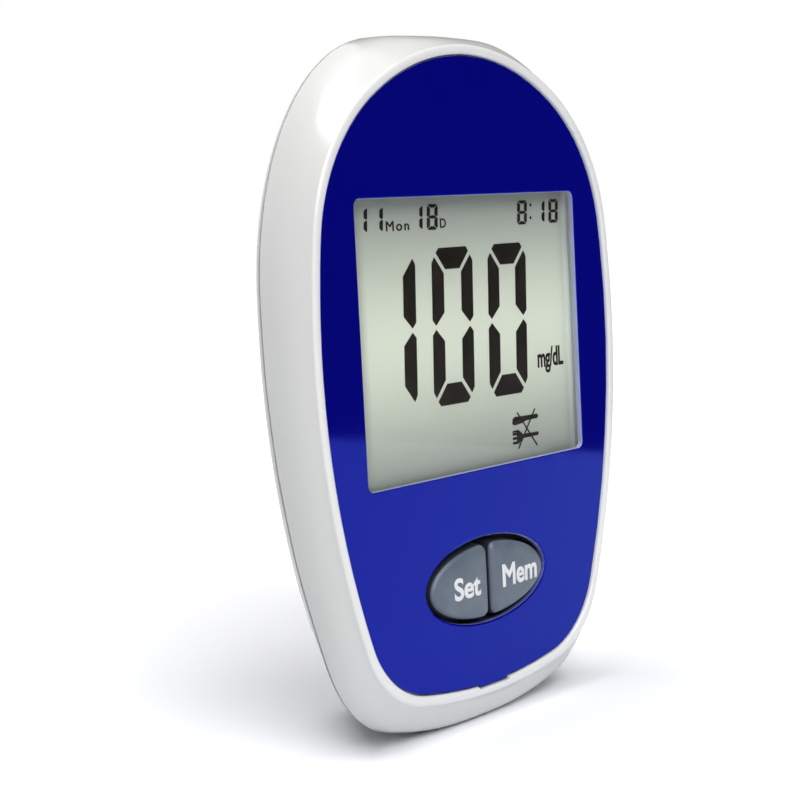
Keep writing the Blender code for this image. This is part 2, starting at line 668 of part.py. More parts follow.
def make_rear_housing():
    housing = loft("rear_housing", rear_shell_skin(), WHITE)
    inner = WALL + FIT + TONGUE_THICKNESS
    inner_loop = body_outline(inner)
    rings = [seam_ring(inner_loop, -TONGUE_LENGTH - OVERRUN), seam_ring(inner_loop, FIT)]
    rings += hull_rings(WALL)[EDGE_STEPS:]
    cavity = loft("rear_cavity", rings)
    beyond = BACK_DEPTH + OVERRUN
    tub_x = BAY_HALF_WIDTH + TUB_WALL
    tub_z = (BAY_LOW - TUB_WALL, BAY_HIGH + TUB_WALL)
    tub = box("tub_block", (-tub_x, tub_x), (BAY_FLOOR_FRONT, beyond), tub_z)
    recess = DOOR_INNER - FIT
    ledge_x = DOOR_FRAME_HALF_WIDTH
    ledge_z = (DOOR_LOW - FIT - DOOR_LEDGE - HOOK_REACH, DOOR_HIGH + FIT + DOOR_LEDGE)
    ledge_depths = (recess - DOOR_LEDGE_THICKNESS, beyond + OVERRUN)
    boolean(tub, box("ledge_block", (-ledge_x, ledge_x), ledge_depths, ledge_z), "UNION")
    boolean(cavity, tub)
    for index, (x, z) in enumerate(SCREW_PLACES):
        post_depths = (BAY_FLOOR_FRONT + CUT_STEP, beyond - CUT_STEP)
        post = rod(f"rear_post_{index}", x, z, post_depths, WELL_RADIUS + POST_WALL)
        boolean(cavity, post)
    boolean(housing, cavity)
    for index, (x, z) in enumerate(SCREW_PLACES):
        boolean(housing, rod(f"well_{index}", x, z, (WELL_DEPTH, beyond + CUT_STEP), WELL_RADIUS))
        hole = (BAY_FLOOR_FRONT - OVERRUN, WELL_DEPTH + FIT)
        boolean(housing, rod(f"screw_hole_{index}", x, z, hole, SCREW_RADIUS + FIT))
    bay_x = (-BAY_HALF_WIDTH, BAY_HALF_WIDTH)
    bay_rim = CELL_DEPTH + CONTACT_HALF_HEIGHT + FIT
    boolean(housing, box("bay_space", bay_x, (BAY_FLOOR, bay_rim), (BAY_LOW, BAY_HIGH)))
    mouth_x = (bay_x[0] - CUT_STEP, bay_x[1] + CUT_STEP)
    bay_loop = rounded_rectangle(mouth_x, (BAY_LOW - CUT_STEP, BAY_HIGH + CUT_STEP), BAY_CORNER)
    boolean(housing, loft("bay_mouth", [ring(bay_loop, bay_rim - FIT), ring(bay_loop, beyond)]))
    door_x = DOOR_HALF_WIDTH + FIT
    door_z = (DOOR_LOW - FIT, DOOR_HIGH + FIT)
    door_loop = rounded_rectangle((-door_x, door_x), door_z, DOOR_TOP_CORNER + FIT, DOOR_LOW_CORNER + FIT)
    boolean(housing, loft("door_recess", [ring(door_loop, recess), ring(door_loop, beyond)]))
    for side in (-1, 1):
        half = HOOK_WIDTH / 2 + HOOK_SLOT_SPACE
        middle = side * HOOK_OFFSET
        slot_z = (DOOR_LOW - HOOK_REACH - HOOK_SLOT_SPACE, BAY_LOW + OVERRUN)
        hook_front = recess - HOOK_THICKNESS - HOOK_SLOT_SPACE
        slot = box(f"hook_slot_{side}", (middle - half, middle + half), (hook_front, DOOR_INNER), slot_z)
        boolean(housing, slot)
    boolean(housing, finger_scoop())
    relief_x = SOCKET_WIDTH / 2 + FIT
    relief_depths = (BOARD_SEAT - OVERRUN, BOARD_BACK + FIT)
    relief_z = (BODY_LENGTH - SOCKET_LENGTH, BODY_LENGTH - WALL)
    boolean(housing, box("socket_relief", (-relief_x, relief_x), relief_depths, relief_z))
    boolean(housing, rod("sounder_vent", SOUNDER_X, SOUNDER_Z, (DECK_BACK, beyond), SOUNDER_VENT_RADIUS))
    return smooth(housing)


def finger_scoop():
    # A shallow round-bottomed groove above the door, where a finger reaches the latch.
    mesh = bpy.data.meshes.new("finger_scoop")
    shape = bmesh.new()
    bmesh.ops.create_cone(
        shape, cap_ends=True, segments=2 * KEY_STEPS, radius1=SCOOP_RADIUS, radius2=SCOOP_RADIUS,
        depth=LATCH_WIDTH,
    )
    shape.to_mesh(mesh)
    shape.free()
    scoop = add_object("finger_scoop", mesh)
    scoop.rotation_euler = (0.0, pi / 2, 0.0)
    scoop.location = (0.0, y_at(BACK_DEPTH - SCOOP_DEPTH + SCOOP_RADIUS), DOOR_HIGH)
    return scoop


def make_faceplate():
    window_x = (-WINDOW_HALF_WIDTH, WINDOW_HALF_WIDTH)
    window = rounded_rectangle(window_x, (WINDOW_HEIGHT_ABOVE_BASE, WINDOW_HIGH), WINDOW_CORNER)
    opening = ellipse(0.0, KEY_HEIGHT_ABOVE_BASE, KEY_OPENING_HALF_WIDTH, KEY_OPENING_HALF_HEIGHT)
    depths = (0.0, FACEPLATE_THICKNESS)
    faceplate = plate("faceplate", [face_outline(EDGE_GAP), window, opening], depths, BLUE)
    tab_x = RELIEF_WIDTH / 2 - EDGE_GAP
    tab_z = (CHIN_MARGIN - RELIEF_HEIGHT + EDGE_GAP, CHIN_MARGIN + OVERRUN)
    return boolean(faceplate, box("lower_tab", (-tab_x, tab_x), depths, tab_z), "UNION")


def make_display():
    across = (-LCD_HALF_WIDTH, LCD_HALF_WIDTH)
    pane_loop = rounded_rectangle(across, (LCD_LOW, LCD_HIGH), PANE_CORNER)
    pane_depths = (RECESS_DEPTH, RECESS_DEPTH + PANE_THICKNESS)
    plate("display_window", [pane_loop], pane_depths, CLEAR)
    box("lcd_glass", across, (LCD_FRONT, LCD_BACK), (LCD_LOW, LCD_HIGH), DISPLAY)
    rim = LCD_HALF_WIDTH + FIT + HOLDER_RIM
    holder_z = (LCD_LOW - FIT - HOLDER_RIM, LCD_HIGH + FIT + HOLDER_RIM)
    holder = box("lcd_holder", (-rim, rim), (DECK_BACK + FIT, BOARD_SEAT), holder_z, BLACK)
    pocket_x = LCD_HALF_WIDTH + FIT
    pocket_depths = (DECK_BACK - OVERRUN, LCD_BACK + FIT)
    pocket_z = (LCD_LOW - FIT, LCD_HIGH + FIT)
    boolean(holder, box("lcd_pocket", (-pocket_x, pocket_x), pocket_depths, pocket_z))
    strip_x = LCD_HALF_WIDTH - CONTACT_STRIP_SIDE_SPACE
    strip_z = (LCD_LOW + FIT, LCD_LOW + FIT + CONTACT_STRIP_WIDTH)
    slot_x = strip_x + FIT
    slot_z = (strip_z[0] - FIT, strip_z[1] + FIT)
    through = (LCD_FRONT, BOARD_SEAT + OVERRUN)
    boolean(holder, box("contact_strip_slot", (-slot_x, slot_x), through, slot_z))
    light_x = LCD_HALF_WIDTH - HOLDER_SHELF
    light_z = (strip_z[1] + FIT + HOLDER_SHELF, LCD_HIGH - HOLDER_SHELF)
    boolean(holder, box("holder_opening", (-light_x, light_x), through, light_z))
    strip_depths = (LCD_BACK + FIT, BOARD_SEAT)
    box("contact_strip", (-strip_x, strip_x), strip_depths, strip_z, RUBBER)


def key_outline(side, edge_inset, split_inset):
    # Half of the keys' common ellipse with rounded corners at the split, in one turning direction.
    wide = KEY_OPENING_HALF_WIDTH - KEY_CLEARANCE - edge_inset
    tall = KEY_OPENING_HALF_HEIGHT - KEY_CLEARANCE - edge_inset
    radius = max(KEY_CORNER_RADIUS - max(split_inset, 0.0), FIT)
    corner_x = KEY_SPLIT / 2 + split_inset + radius
    first = acos(corner_x / wide)
    corner_z = tall * sin(first) - radius
    corner = [pi / 2 + pi / 2 * i / KEY_CORNER_STEPS for i in range(KEY_CORNER_STEPS, 0, -1)]
    points = [(corner_x + radius * cos(turn), corner_z + radius * sin(turn)) for turn in corner]
    steps = KEY_STEPS // 2
    turns = [first * (1 - 2 * i / steps) for i in range(steps + 1)]
    points += [(wide * cos(turn), tall * sin(turn)) for turn in turns]
    points += [
        (corner_x + radius * cos(turn), -corner_z - radius * sin(turn)) for turn in reversed(corner)
    ]
    return [(side * x, KEY_HEIGHT_ABOVE_BASE + z) for x, z in points]


def key_ring(side, inset, drop):
    # A ring on the low dome that both keys share, sunk by a drop below it.
    wide = KEY_OPENING_HALF_WIDTH - KEY_CLEARANCE
    tall = KEY_OPENING_HALF_HEIGHT - KEY_CLEARANCE
    points = []
    for x, z in key_outline(side, inset, inset):
        off_middle = (x / wide) ** 2 + ((z - KEY_HEIGHT_ABOVE_BASE) / tall) ** 2
        height = KEY_EDGE_RISE + KEY_CROWN * (1 - off_middle) - drop
        points.append(Vector((x, y_at(-height), z)))
    return points


def key_rings(side):
    # From the back of the flange over the rounded edge to the middle of the cushion.
    flange = key_outline(side, -KEY_FLANGE_WIDTH, -KEY_FLANGE_STEP)
    rings = [ring(flange, KEY_FLANGE_BACK), ring(flange, KEY_FLANGE_FRONT)]
    rings.append(ring(key_outline(side, 0.0, 0.0), KEY_FLANGE_FRONT))
    for i in range(KEY_ROUND_STEPS + 1):
        turn = pi / 2 * i / KEY_ROUND_STEPS
        rings.append(key_ring(side, KEY_EDGE_ROUND * (1 - cos(turn)), KEY_EDGE_ROUND * (1 - sin(turn))))
    reach = (KEY_OPENING_HALF_HEIGHT - KEY_CLEARANCE) * (1 - KEY_PLATEAU_SHARE) - KEY_EDGE_ROUND
    for i in range(1, KEY_CROWN_STEPS + 1):
        rings.append(key_ring(side, KEY_EDGE_ROUND + reach * i / KEY_CROWN_STEPS, 0.0))
    return rings


def make_key(name, side):
    key = loft(name, key_rings(side), KEY_GREY)
    middle = Vector((side * SWITCH_OFFSET, y_at(KEY_FLANGE_BACK), KEY_HEIGHT_ABOVE_BASE))
    key.data.transform(Matrix.Translation(-middle))
    key.location = middle
    stem_depths = (KEY_FLANGE_BACK - KEY_FLANGE_THICKNESS / 2, STEM_END)
    stem = rod(name + "_stem", side * SWITCH_OFFSET, KEY_HEIGHT_ABOVE_BASE, stem_depths, KEY_STEM_RADIUS)
    boolean(key, stem, "UNION")
    return smooth(key)


def make_switch(name, side):
    x, z = side * SWITCH_OFFSET, KEY_HEIGHT_ABOVE_BASE
    half = SWITCH_SIZE / 2
    body_x, body_z = (x - half, x + half), (z - half, z + half)
    switch = box(f"{name}_switch", body_x, (SWITCH_FRONT, BOARD_SEAT), body_z, BLACK)
    hole = (SWITCH_FRONT - OVERRUN, BOARD_SEAT - SWITCH_FLOOR)
    boolean(switch, rod(f"{name}_switch_hole", x, z, hole, PLUNGER_RADIUS + FIT))
    front = STEM_END + FIT
    smooth(rod(f"{name}_plunger", x, z, (front, front + PLUNGER_LENGTH), PLUNGER_RADIUS, BLACK))


def make_board():
    loops = [body_outline(BOARD_INSET)]
    loops += [ellipse(x, z, BOARD_HOLE_RADIUS, BOARD_HOLE_RADIUS, ROUND_STEPS) for x, z in SCREW_PLACES]
    plate("main_board", loops, (BOARD_FRONT, BOARD_BACK), BOARD)
    half = CHIP_SIZE / 2
    chip_z = (WINDOW_MIDDLE - half, WINDOW_MIDDLE + half)
    box("controller_chip", (-half, half), (BOARD_SEAT - CHIP_THICKNESS, BOARD_SEAT), chip_z, BLACK)
    crystal = turned("quartz_crystal", [
        (0.0, CRYSTAL_LENGTH), (CRYSTAL_RADIUS, CRYSTAL_LENGTH), (CRYSTAL_RADIUS, 0.0), (0.0, 0.0),
    ], ROUND_STEPS // 2, NICKEL)
    crystal.location = (CRYSTAL_OFFSET, y_at(BOARD_SEAT - CRYSTAL_RADIUS), CRYSTAL_LOW)
    depths = (BAY_FLOOR_FRONT, BAY_FLOOR_FRONT + SOUNDER_THICKNESS)
    smooth(rod("sounder", SOUNDER_X, SOUNDER_Z, depths, SOUNDER_RADIUS, BLACK))


def make_strip_socket():
    high = BODY_LENGTH - SOCKET_TOP_GAP
    low = high - SOCKET_LENGTH
    half = SOCKET_WIDTH / 2
    socket = box("strip_socket", (-half, half), (SOCKET_DEPTH, BOARD_SEAT), (low, high), BLACK)
    half_strip = STRIP_WIDTH / 2
    slot = (STRIP_DEPTH - STRIP_SLOT / 2, STRIP_DEPTH + STRIP_SLOT / 2)
    pocket_z = (high - SOCKET_POCKET, high + OVERRUN)
    boolean(socket, box("strip_slot", (-half_strip, half_strip), slot, pocket_z))
    room = (STRIP_DEPTH, BOARD_SEAT - SWITCH_FLOOR)
    room_z = (low - OVERRUN, high - MOUTH_LENGTH)
    room_x = STRIP_CONTACT_PITCH + STRIP_CONTACT_RADIUS + FIT
    boolean(socket, box("contact_room", (-room_x, room_x), room, room_z))
    radius = STRIP_CONTACT_RADIUS
    flat = room[1] - FIT - radius
    press = STRIP_DEPTH + radius
    run = room_z[1] - FIT - low
    shares = ((0.0, 0.0), (0.3, 0.05), (0.6, 0.5), (0.8, 0.95), (0.9, 0.95), (1.0, 0.6))
    for index in range(3):
        x = (index - 1) * STRIP_CONTACT_PITCH
        points = [(x, y_at(flat), low - STRIP_CONTACT_TAIL)]
        for along, lift in shares:
            points.append((x, y_at(flat + (press - flat) * lift), low + along * (run - radius)))
        tube(f"strip_contact_{index + 1}", points, radius, GOLD)


def cell_profile():
    shoulder = CELL_RADIUS - CELL_SHOULDER
    top = CELL_LENGTH - CELL_NUB_LENGTH
    return [
        (0.0, CELL_LENGTH), (CELL_NUB_RADIUS, CELL_LENGTH), (CELL_NUB_RADIUS, top), (shoulder, top),
        (CELL_RADIUS, top - CELL_SHOULDER), (CELL_RADIUS, CELL_SHOULDER), (shoulder, 0.0), (0.0, 0.0),
    ]


def make_cells():
    depth = y_at(CELL_DEPTH)
    left = turned("battery_left", cell_profile(), CELL_STEPS, CELL)
    left.location = (-CELL_SPACING / 2, depth, LEFT_CELL_LOW)
    right = turned("battery_right", cell_profile(), CELL_STEPS, CELL)
    right.rotation_euler = (pi, 0.0, 0.0)
    right.location = (CELL_SPACING / 2, depth, RIGHT_CELL_LOW + CELL_LENGTH)


def coil(x, z, direction):
    # Points of a conical spring, wide at its plate.
    count = SPRING_TURNS * SPRING_POINTS_PER_TURN
    rise = SPRING_LENGTH - 2 * SPRING_WIRE_RADIUS
    points = []
    for i in range(count + 1):
        share = i / count
        turn = 2 * pi * SPRING_TURNS * share
        radius = SPRING_BASE_RADIUS + (SPRING_TIP_RADIUS - SPRING_BASE_RADIUS) * share
        height = SPRING_WIRE_RADIUS + rise * share
        points.append(Vector((
            x + radius * cos(turn), y_at(CELL_DEPTH) + radius * sin(turn), z + direction * height
        )))
    return points


def gap_between_turns(points):
    count = len(points)
    spaces = [
        (points[i] - points[j]).length
        for i in range(count) for j in range(i + SPRING_POINTS_PER_TURN // 2, count)
    ]
    return min(spaces) - 2 * SPRING_WIRE_RADIUS


def make_battery_contacts():
    lower = coil(-CELL_SPACING / 2, BRIDGE_HIGH + FIT, 1)
    upper = coil(CELL_SPACING / 2, TERMINAL_LOW - FIT, -1)
    tube("lower_spring", lower, SPRING_WIRE_RADIUS, NICKEL)
    tube("upper_spring", upper, SPRING_WIRE_RADIUS, NICKEL)
    print(f"least gap between spring turns: {gap_between_turns(lower):.5f} m")
    half = CONTACT_HALF_WIDTH
    depths = (CELL_DEPTH - CONTACT_HALF_HEIGHT, CELL_DEPTH + CONTACT_HALF_HEIGHT)
    middle = CELL_SPACING / 2
    terminal_z = (TERMINAL_LOW, TERMINAL_LOW + CONTACT_PLATE_THICKNESS)
    box("terminal_left", (-middle - half, -middle + half), depths, terminal_z, NICKEL)
    box("terminal_right", (middle - half, middle + half), depths, terminal_z, NICKEL)
    box("bridge_plate", (-middle - half, middle + half), depths, (BRIDGE_LOW, BRIDGE_HIGH), NICKEL)


def make_door():
    # The origin lies on the lower outer edge, which the door turns about.
    half_latch = LATCH_WIDTH / 2
    slot_low = DOOR_HIGH - LATCH_LENGTH
    door_x = (-DOOR_HALF_WIDTH, DOOR_HALF_WIDTH)
    outer = rounded_rectangle(door_x, (DOOR_LOW, DOOR_HIGH), DOOR_TOP_CORNER, DOOR_LOW_CORNER)
    door = plate("battery_door", [outer], (DOOR_INNER, BACK_DEPTH), WHITE)
    through = (DOOR_INNER - OVERRUN, BACK_DEPTH + OVERRUN)
    for side in (-1, 1):
        edges = sorted((side * half_latch, side * (half_latch + LATCH_SLOT)))
        boolean(door, box(f"latch_slot_{side}", edges, through, (slot_low, DOOR_HIGH + OVERRUN)))
        middle = side * HOOK_OFFSET
        hook_x = (middle - HOOK_WIDTH / 2, middle + HOOK_WIDTH / 2)
        tab_back = DOOR_INNER - FIT
        tab_front = tab_back - HOOK_THICKNESS
        root_z = (DOOR_LOW, DOOR_LOW + HOOK_ROOT)
        root = box(f"hook_root_{side}", hook_x, (tab_front, DOOR_INNER + FIT), root_z)
        tab_z = (DOOR_LOW - HOOK_REACH, DOOR_LOW + HOOK_ROOT / 2)
        tab = box(f"hook_tab_{side}", hook_x, (tab_front, tab_back), tab_z)
        boolean(root, tab, "UNION")
        boolean(door, root, "UNION")
    for index in range(GRIP_COUNT):
        groove = bpy.data.meshes.new("grip_groove")
        shape = bmesh.new()
        length = LATCH_WIDTH - 2 * LATCH_SLOT
        bmesh.ops.create_cone(
            shape, cap_ends=True, segments=ROUND_STEPS // 2, radius1=GRIP_RADIUS, radius2=GRIP_RADIUS,
            depth=length,
        )
        shape.to_mesh(groove)
        shape.free()
        cutter = add_object(f"grip_groove_{index}", groove)
        cutter.rotation_euler = (0.0, pi / 2, 0.0)
        cutter.location = (0.0, y_at(BACK_DEPTH), DOOR_HIGH - (index + 1) * GRIP_PITCH)
        boolean(door, cutter)
    return door


def make_screws():
    length = HEAD_DEPTH + SCREW_HEAD_HEIGHT - SCREW_POINT_DEPTH
    shank = HEAD_DEPTH - SCREW_POINT_DEPTH
    rounded = SCREW_HEAD_RADIUS - SCREW_HEAD_ROUND
    profile = [
        (0.0, length), (rounded, length), (SCREW_HEAD_RADIUS, length - SCREW_HEAD_ROUND),
        (SCREW_HEAD_RADIUS, shank), (SCREW_RADIUS, shank), (SCREW_RADIUS, SCREW_RADIUS), (0.0, 0.0),
    ]
    for index, (x, z) in enumerate(SCREW_PLACES):
        screw = turned(f"housing_screw_{index + 1}", profile, ROUND_STEPS, STEEL)
        screw.rotation_euler = (-pi / 2, 0.0, 0.0)
        screw.location = (x, y_at(SCREW_POINT_DEPTH), z)


make_front_housing()
make_rear_housing()
make_faceplate()
make_display()
make_key("left_key", -1)
make_key("right_key", 1)
make_switch("left", -1)
make_switch("right", 1)
make_board()
make_strip_socket()
make_cells()
make_battery_contacts()
make_door()
make_screws()
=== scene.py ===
import bmesh
import bpy
import json
from math import cos, pi, radians, sin
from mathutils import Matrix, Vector

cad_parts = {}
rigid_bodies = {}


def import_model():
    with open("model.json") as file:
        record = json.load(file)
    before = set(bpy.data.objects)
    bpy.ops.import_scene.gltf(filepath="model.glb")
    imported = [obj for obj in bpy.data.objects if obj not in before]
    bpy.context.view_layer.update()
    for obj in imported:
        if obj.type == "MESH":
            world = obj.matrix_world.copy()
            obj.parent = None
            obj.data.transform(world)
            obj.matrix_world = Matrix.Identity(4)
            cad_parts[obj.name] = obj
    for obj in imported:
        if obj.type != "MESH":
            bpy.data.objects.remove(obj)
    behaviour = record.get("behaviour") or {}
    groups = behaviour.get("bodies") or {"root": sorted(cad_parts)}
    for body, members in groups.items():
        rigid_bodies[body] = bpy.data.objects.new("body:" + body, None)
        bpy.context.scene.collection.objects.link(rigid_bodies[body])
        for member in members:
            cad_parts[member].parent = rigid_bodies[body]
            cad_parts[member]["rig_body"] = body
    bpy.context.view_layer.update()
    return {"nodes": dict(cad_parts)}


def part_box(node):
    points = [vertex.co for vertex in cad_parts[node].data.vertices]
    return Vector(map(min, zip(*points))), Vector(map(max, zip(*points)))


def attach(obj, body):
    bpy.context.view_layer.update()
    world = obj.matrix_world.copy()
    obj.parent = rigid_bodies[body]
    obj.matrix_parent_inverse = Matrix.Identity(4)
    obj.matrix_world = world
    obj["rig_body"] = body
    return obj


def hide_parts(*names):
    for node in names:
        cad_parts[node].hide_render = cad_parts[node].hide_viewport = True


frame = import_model()
nodes = frame["nodes"]
bpy.ops.object.select_all(action="DESELECT")
print("frame loaded:", len(nodes), "moulded and bought pieces")


class Flow:
    # A shader value. Sums, differences, products, comparisons and abs() of it add their Math nodes.
    def __init__(self, socket):
        self.socket = socket

    def maths(self, operation, first, second=0.0):
        return addNode(self.socket.id_data, "ShaderNodeMath", {"operation": operation}, {0: first, 1: second})

    def __add__(self, other):
        return self.maths("ADD", self, other)

    def __radd__(self, other):
        return self.maths("ADD", other, self)

    def __sub__(self, other):
        return self.maths("SUBTRACT", self, other)

    def __rsub__(self, other):
        return self.maths("SUBTRACT", other, self)

    def __mul__(self, other):
        return self.maths("MULTIPLY", self, other)

    def __rmul__(self, other):
        return self.maths("MULTIPLY", other, self)

    def __gt__(self, other):
        return self.maths("GREATER_THAN", self, other)

    def __lt__(self, other):
        return self.maths("LESS_THAN", self, other)

    def __abs__(self):
        return self.maths("ABSOLUTE", self)


def addNode(tree, kind, settings=None, sockets=None, output=0):
    # The settings come first, because some of them change the sockets.
    node = tree.nodes.new(kind)
    for name, value in (settings or {}).items():
        setattr(node, name, value)
    for name, value in (sockets or {}).items():
        if isinstance(value, Flow):
            tree.links.new(value.socket, node.inputs[name])
        else:
            node.inputs[name].default_value = value
    return Flow(node.outputs[output]) if len(node.outputs) else None


def opaque(colour):
    return (*colour, 1.0)


class Finish:
    # One material being built: its tree, and the few nodes that every finish here uses.
    def __init__(self, name):
        self.material = bpy.data.materials.new(name)
        self.material.use_nodes = True
        self.tree = self.material.node_tree
        self.tree.nodes.clear()

    def add(self, kind, settings=None, sockets=None, output=0):
        return addNode(self.tree, kind, settings, sockets, output)

    def axes(self, output=3):
        # X, Y and Z of the place on the piece, or with output 1 of its facing.
        vector = self.add("ShaderNodeTexCoord", output=output)
        return [self.add("ShaderNodeSeparateXYZ", None, {0: vector}, axis) for axis in range(3)]

    def noise(self, scale, detail=3.0, stretch=(1.0, 1.0, 1.0)):
        place = self.add("ShaderNodeTexCoord", output=3)
        moved = self.add("ShaderNodeMapping", {"vector_type": "TEXTURE"}, {"Vector": place, "Scale": stretch})
        return self.add("ShaderNodeTexNoise", None, {"Vector": moved, "Scale": scale, "Detail": detail})

    def spread(self, value, low, high, toLow=0.0, toHigh=1.0):
        # Moves a value's range, with soft ends.
        settings = {"interpolation_type": "SMOOTHSTEP"}
        return self.add("ShaderNodeMapRange", settings, {0: value, 1: low, 2: high, 3: toLow, 4: toHigh})

    def mix(self, share, first, second):
        first, second = [v if isinstance(v, Flow) else opaque(v) for v in (first, second)]
        return self.add("ShaderNodeMix", {"data_type": "RGBA"}, {0: share, 6: first, 7: second}, 2)

    def bump(self, height, strength, distance, under=None):
        sockets = {"Height": height, "Strength": strength, "Distance": distance}
        if under:
            sockets["Normal"] = under
        return self.add("ShaderNodeBump", None, sockets)

    def shine(self, sockets):
        return self.add("ShaderNodeBsdfPrincipled", None, sockets)

    def done(self, shader):
        self.add("ShaderNodeOutputMaterial", None, {0: shader})
        return self.material


def dress(finish, *names):
    for name in names:
        for slot in nodes[name].material_slots:
            slot.material = finish


whitePlastic = {
    "colour": (0.794, 0.801, 0.79),
    "shadeColour": (0.784, 0.791, 0.781),
    "cloudSize": 45.0,
    # painted light: the top of the housing is lighter, where light from above falls on it
    "paintedTopLight": (0.86, 0.866, 0.852),
    "topLightStart": 0.07,
    "topLightEnd": 0.088,
    "paintedLipHighlight": (0.955, 0.96, 0.95),
    "lipHighlightStart": -0.0105,              # painted highlight: the raised lip is the whitest, where its rounding catches the light
    "lipHighlightEnd": -0.0108,
    "roughness": (0.2, 0.27),
    "smearSize": 160.0,
    "smearStretch": (1.0, 1.0, 2.2),
    "smearRange": (0.3, 0.75),
    "coat": 0.3,
    "coatRoughness": 0.12,
    "peelSize": 520.0,
    "peelDepth": 0.000004,
    "grainSize": 9000.0,
    "grainDepth": 0.0000012,
    "bumpStrength": 0.5,
    "maskAndGapShadeColour": (0.004, 0.005, 0.02),   # painted shade: dark on the deck beside the keys, where the gap lies in shadow
    "gapShadeRoom": 0.0016,
    "gapShadeRoughness": 0.5,
    "doorGrain": 1.6,                 # the door's grain is coarser by this factor
}


def makeWhitePlastic(name, look, grain=1.0):
    f = Finish(name)
    cloud = f.noise(look["cloudSize"], 2.0)
    smear = f.noise(look["smearSize"], 4.0, look["smearStretch"])
    peel = f.bump(f.noise(look["peelSize"], 2.0), look["bumpStrength"], look["peelDepth"])
    skin = f.bump(f.noise(look["grainSize"], 2.0), look["bumpStrength"], look["grainDepth"] * grain, peel)
    x, y, z = f.axes()
    low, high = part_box("left_key")[0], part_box("right_key")[1]
    # Painted shade: the deck beside the keys is dark, where the gap lies in shadow.
    across = (x > low.x - look["gapShadeRoom"]) * (x < high.x + look["gapShadeRoom"])
    upward = (z > low.z - look["gapShadeRoom"]) * (z < high.z + look["gapShadeRoom"])
    gapShade = across * upward * (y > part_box("faceplate")[0].y) * (y < high.y)
    clouded = f.mix(cloud, look["colour"], look["shadeColour"])
    # Painted light: towards the top the colour turns lighter.
    body = f.mix(f.spread(z, look["topLightStart"], look["topLightEnd"]), clouded, look["paintedTopLight"])
    # Painted highlight on the lip. The moulded colour from here on holds the painted top light and lip
    # highlight.
    moulded = f.mix(f.spread(y, look["lipHighlightStart"], look["lipHighlightEnd"]), body, look["paintedLipHighlight"])
    gloss = f.spread(smear, *look["smearRange"], *look["roughness"])
    return f.done(f.shine({
        "Base Color": f.mix(gapShade, moulded, look["maskAndGapShadeColour"]),
        "Roughness": gloss + gapShade * look["gapShadeRoughness"],
        "Coat Weight": look["coat"],
        "Coat Roughness": look["coatRoughness"],
        "Normal": skin,
    }))


facePlate = {
    "colour": (0.0045, 0.005, 0.36),
    "deepColour": (0.0035, 0.0035, 0.33),
    "cloudSize": 60.0,
    "frontRange": (0.35, 0.8),        # how far a face looks forward for the blue to cover it
    "windowEdgeColour": (0.4, 0.43, 0.62),
    # painted shade and highlight: the key opening's edge is darker, and lighter in its upper half
    "keyEdgeShadeColour": (0.13, 0.16, 0.42),
    "keyTopEdgeHighlight": (0.5, 0.56, 0.95),
    "metallic": 0.38,
    "ior": 1.31,
    "tint": (0.4, 0.95, 1.0),
    "roughness": (0.05, 0.09),
    "smearSize": 260.0,
    "smearStretch": (1.0, 1.0, 3.0),
    "smearRange": (0.35, 0.8),
    "waveSize": 70.0,
    "waveStrength": 0.3,
    "waveDepth": 0.00001,
}


def makeBluePlate(name, look):
    f = Finish(name)
    front = f.spread(abs(f.axes(1)[1]), *look["frontRange"])
    blue = f.mix(f.noise(look["cloudSize"], 3.0), look["colour"], look["deepColour"])
    smear = f.noise(look["smearSize"], 5.0, look["smearStretch"])
    height = f.axes()[2]
    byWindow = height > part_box("display_window")[0].z
    keyLow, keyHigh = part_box("left_key")[0].z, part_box("left_key")[1].z
    # Painted shade and highlight: the key opening's edge is darker, and lighter towards its top.
    upper = f.spread(height, (keyLow + keyHigh) / 2, keyHigh)
    paintedKeyEdge = f.mix(upper, look["keyEdgeShadeColour"], look["keyTopEdgeHighlight"])
    edge = f.mix(byWindow, paintedKeyEdge, look["windowEdgeColour"])
    return f.done(f.shine({
        "Base Color": f.mix(front, edge, blue),
        "Metallic": front * look["metallic"],
        "IOR": look["ior"],
        "Specular Tint": opaque(look["tint"]),
        "Roughness": f.spread(smear, *look["smearRange"], *look["roughness"]),
        "Normal": f.bump(f.noise(look["waveSize"], 1.0), look["waveStrength"], look["waveDepth"]),
    }))


keyRubber = {
    "colour": (0.12, 0.154, 0.205),
    "wornColour": (0.148, 0.185, 0.236),
    "wornSize": 300.0,
    "wornRange": (0.35, 0.7),
    "sideShadeColour": (0.006, 0.007, 0.016),
    "greyFrom": -0.00005,             # painted shade: the sides darken from here to there, from the faceplate's surface down
    "blackFrom": 0.0003,
    "sideShadeRoughness": 0.5,
    "roughness": (0.34, 0.46),
    "coat": 0.08,
    "coatRoughness": 0.3,
    "grainSize": 5200.0,
    "grainRange": (0.3, 0.7),
    "grainStrength": 0.6,
    "grainDepth": 0.000006,
}


def makeKeyRubber(name, look):
    f = Finish(name)
    grain = f.noise(look["grainSize"], 3.0)
    worn = f.spread(f.noise(look["wornSize"], 3.0), *look["wornRange"])
    grey = f.mix(worn, look["colour"], look["wornColour"])
    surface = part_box("faceplate")[0].y
    # Painted shade: the key's sides darken below the faceplate's surface, towards black.
    sideShade = f.spread(f.axes()[1], surface + look["greyFrom"], surface + look["blackFrom"])
    matt = f.spread(grain, *look["grainRange"], *look["roughness"])
    return f.done(f.shine({
        "Base Color": f.mix(sideShade, grey, look["sideShadeColour"]),
        "Roughness": matt + sideShade * look["sideShadeRoughness"],
        "Coat Weight": look["coat"],
        "Coat Roughness": look["coatRoughness"],
        "Normal": f.bump(grain, look["grainStrength"], look["grainDepth"]),
    }))


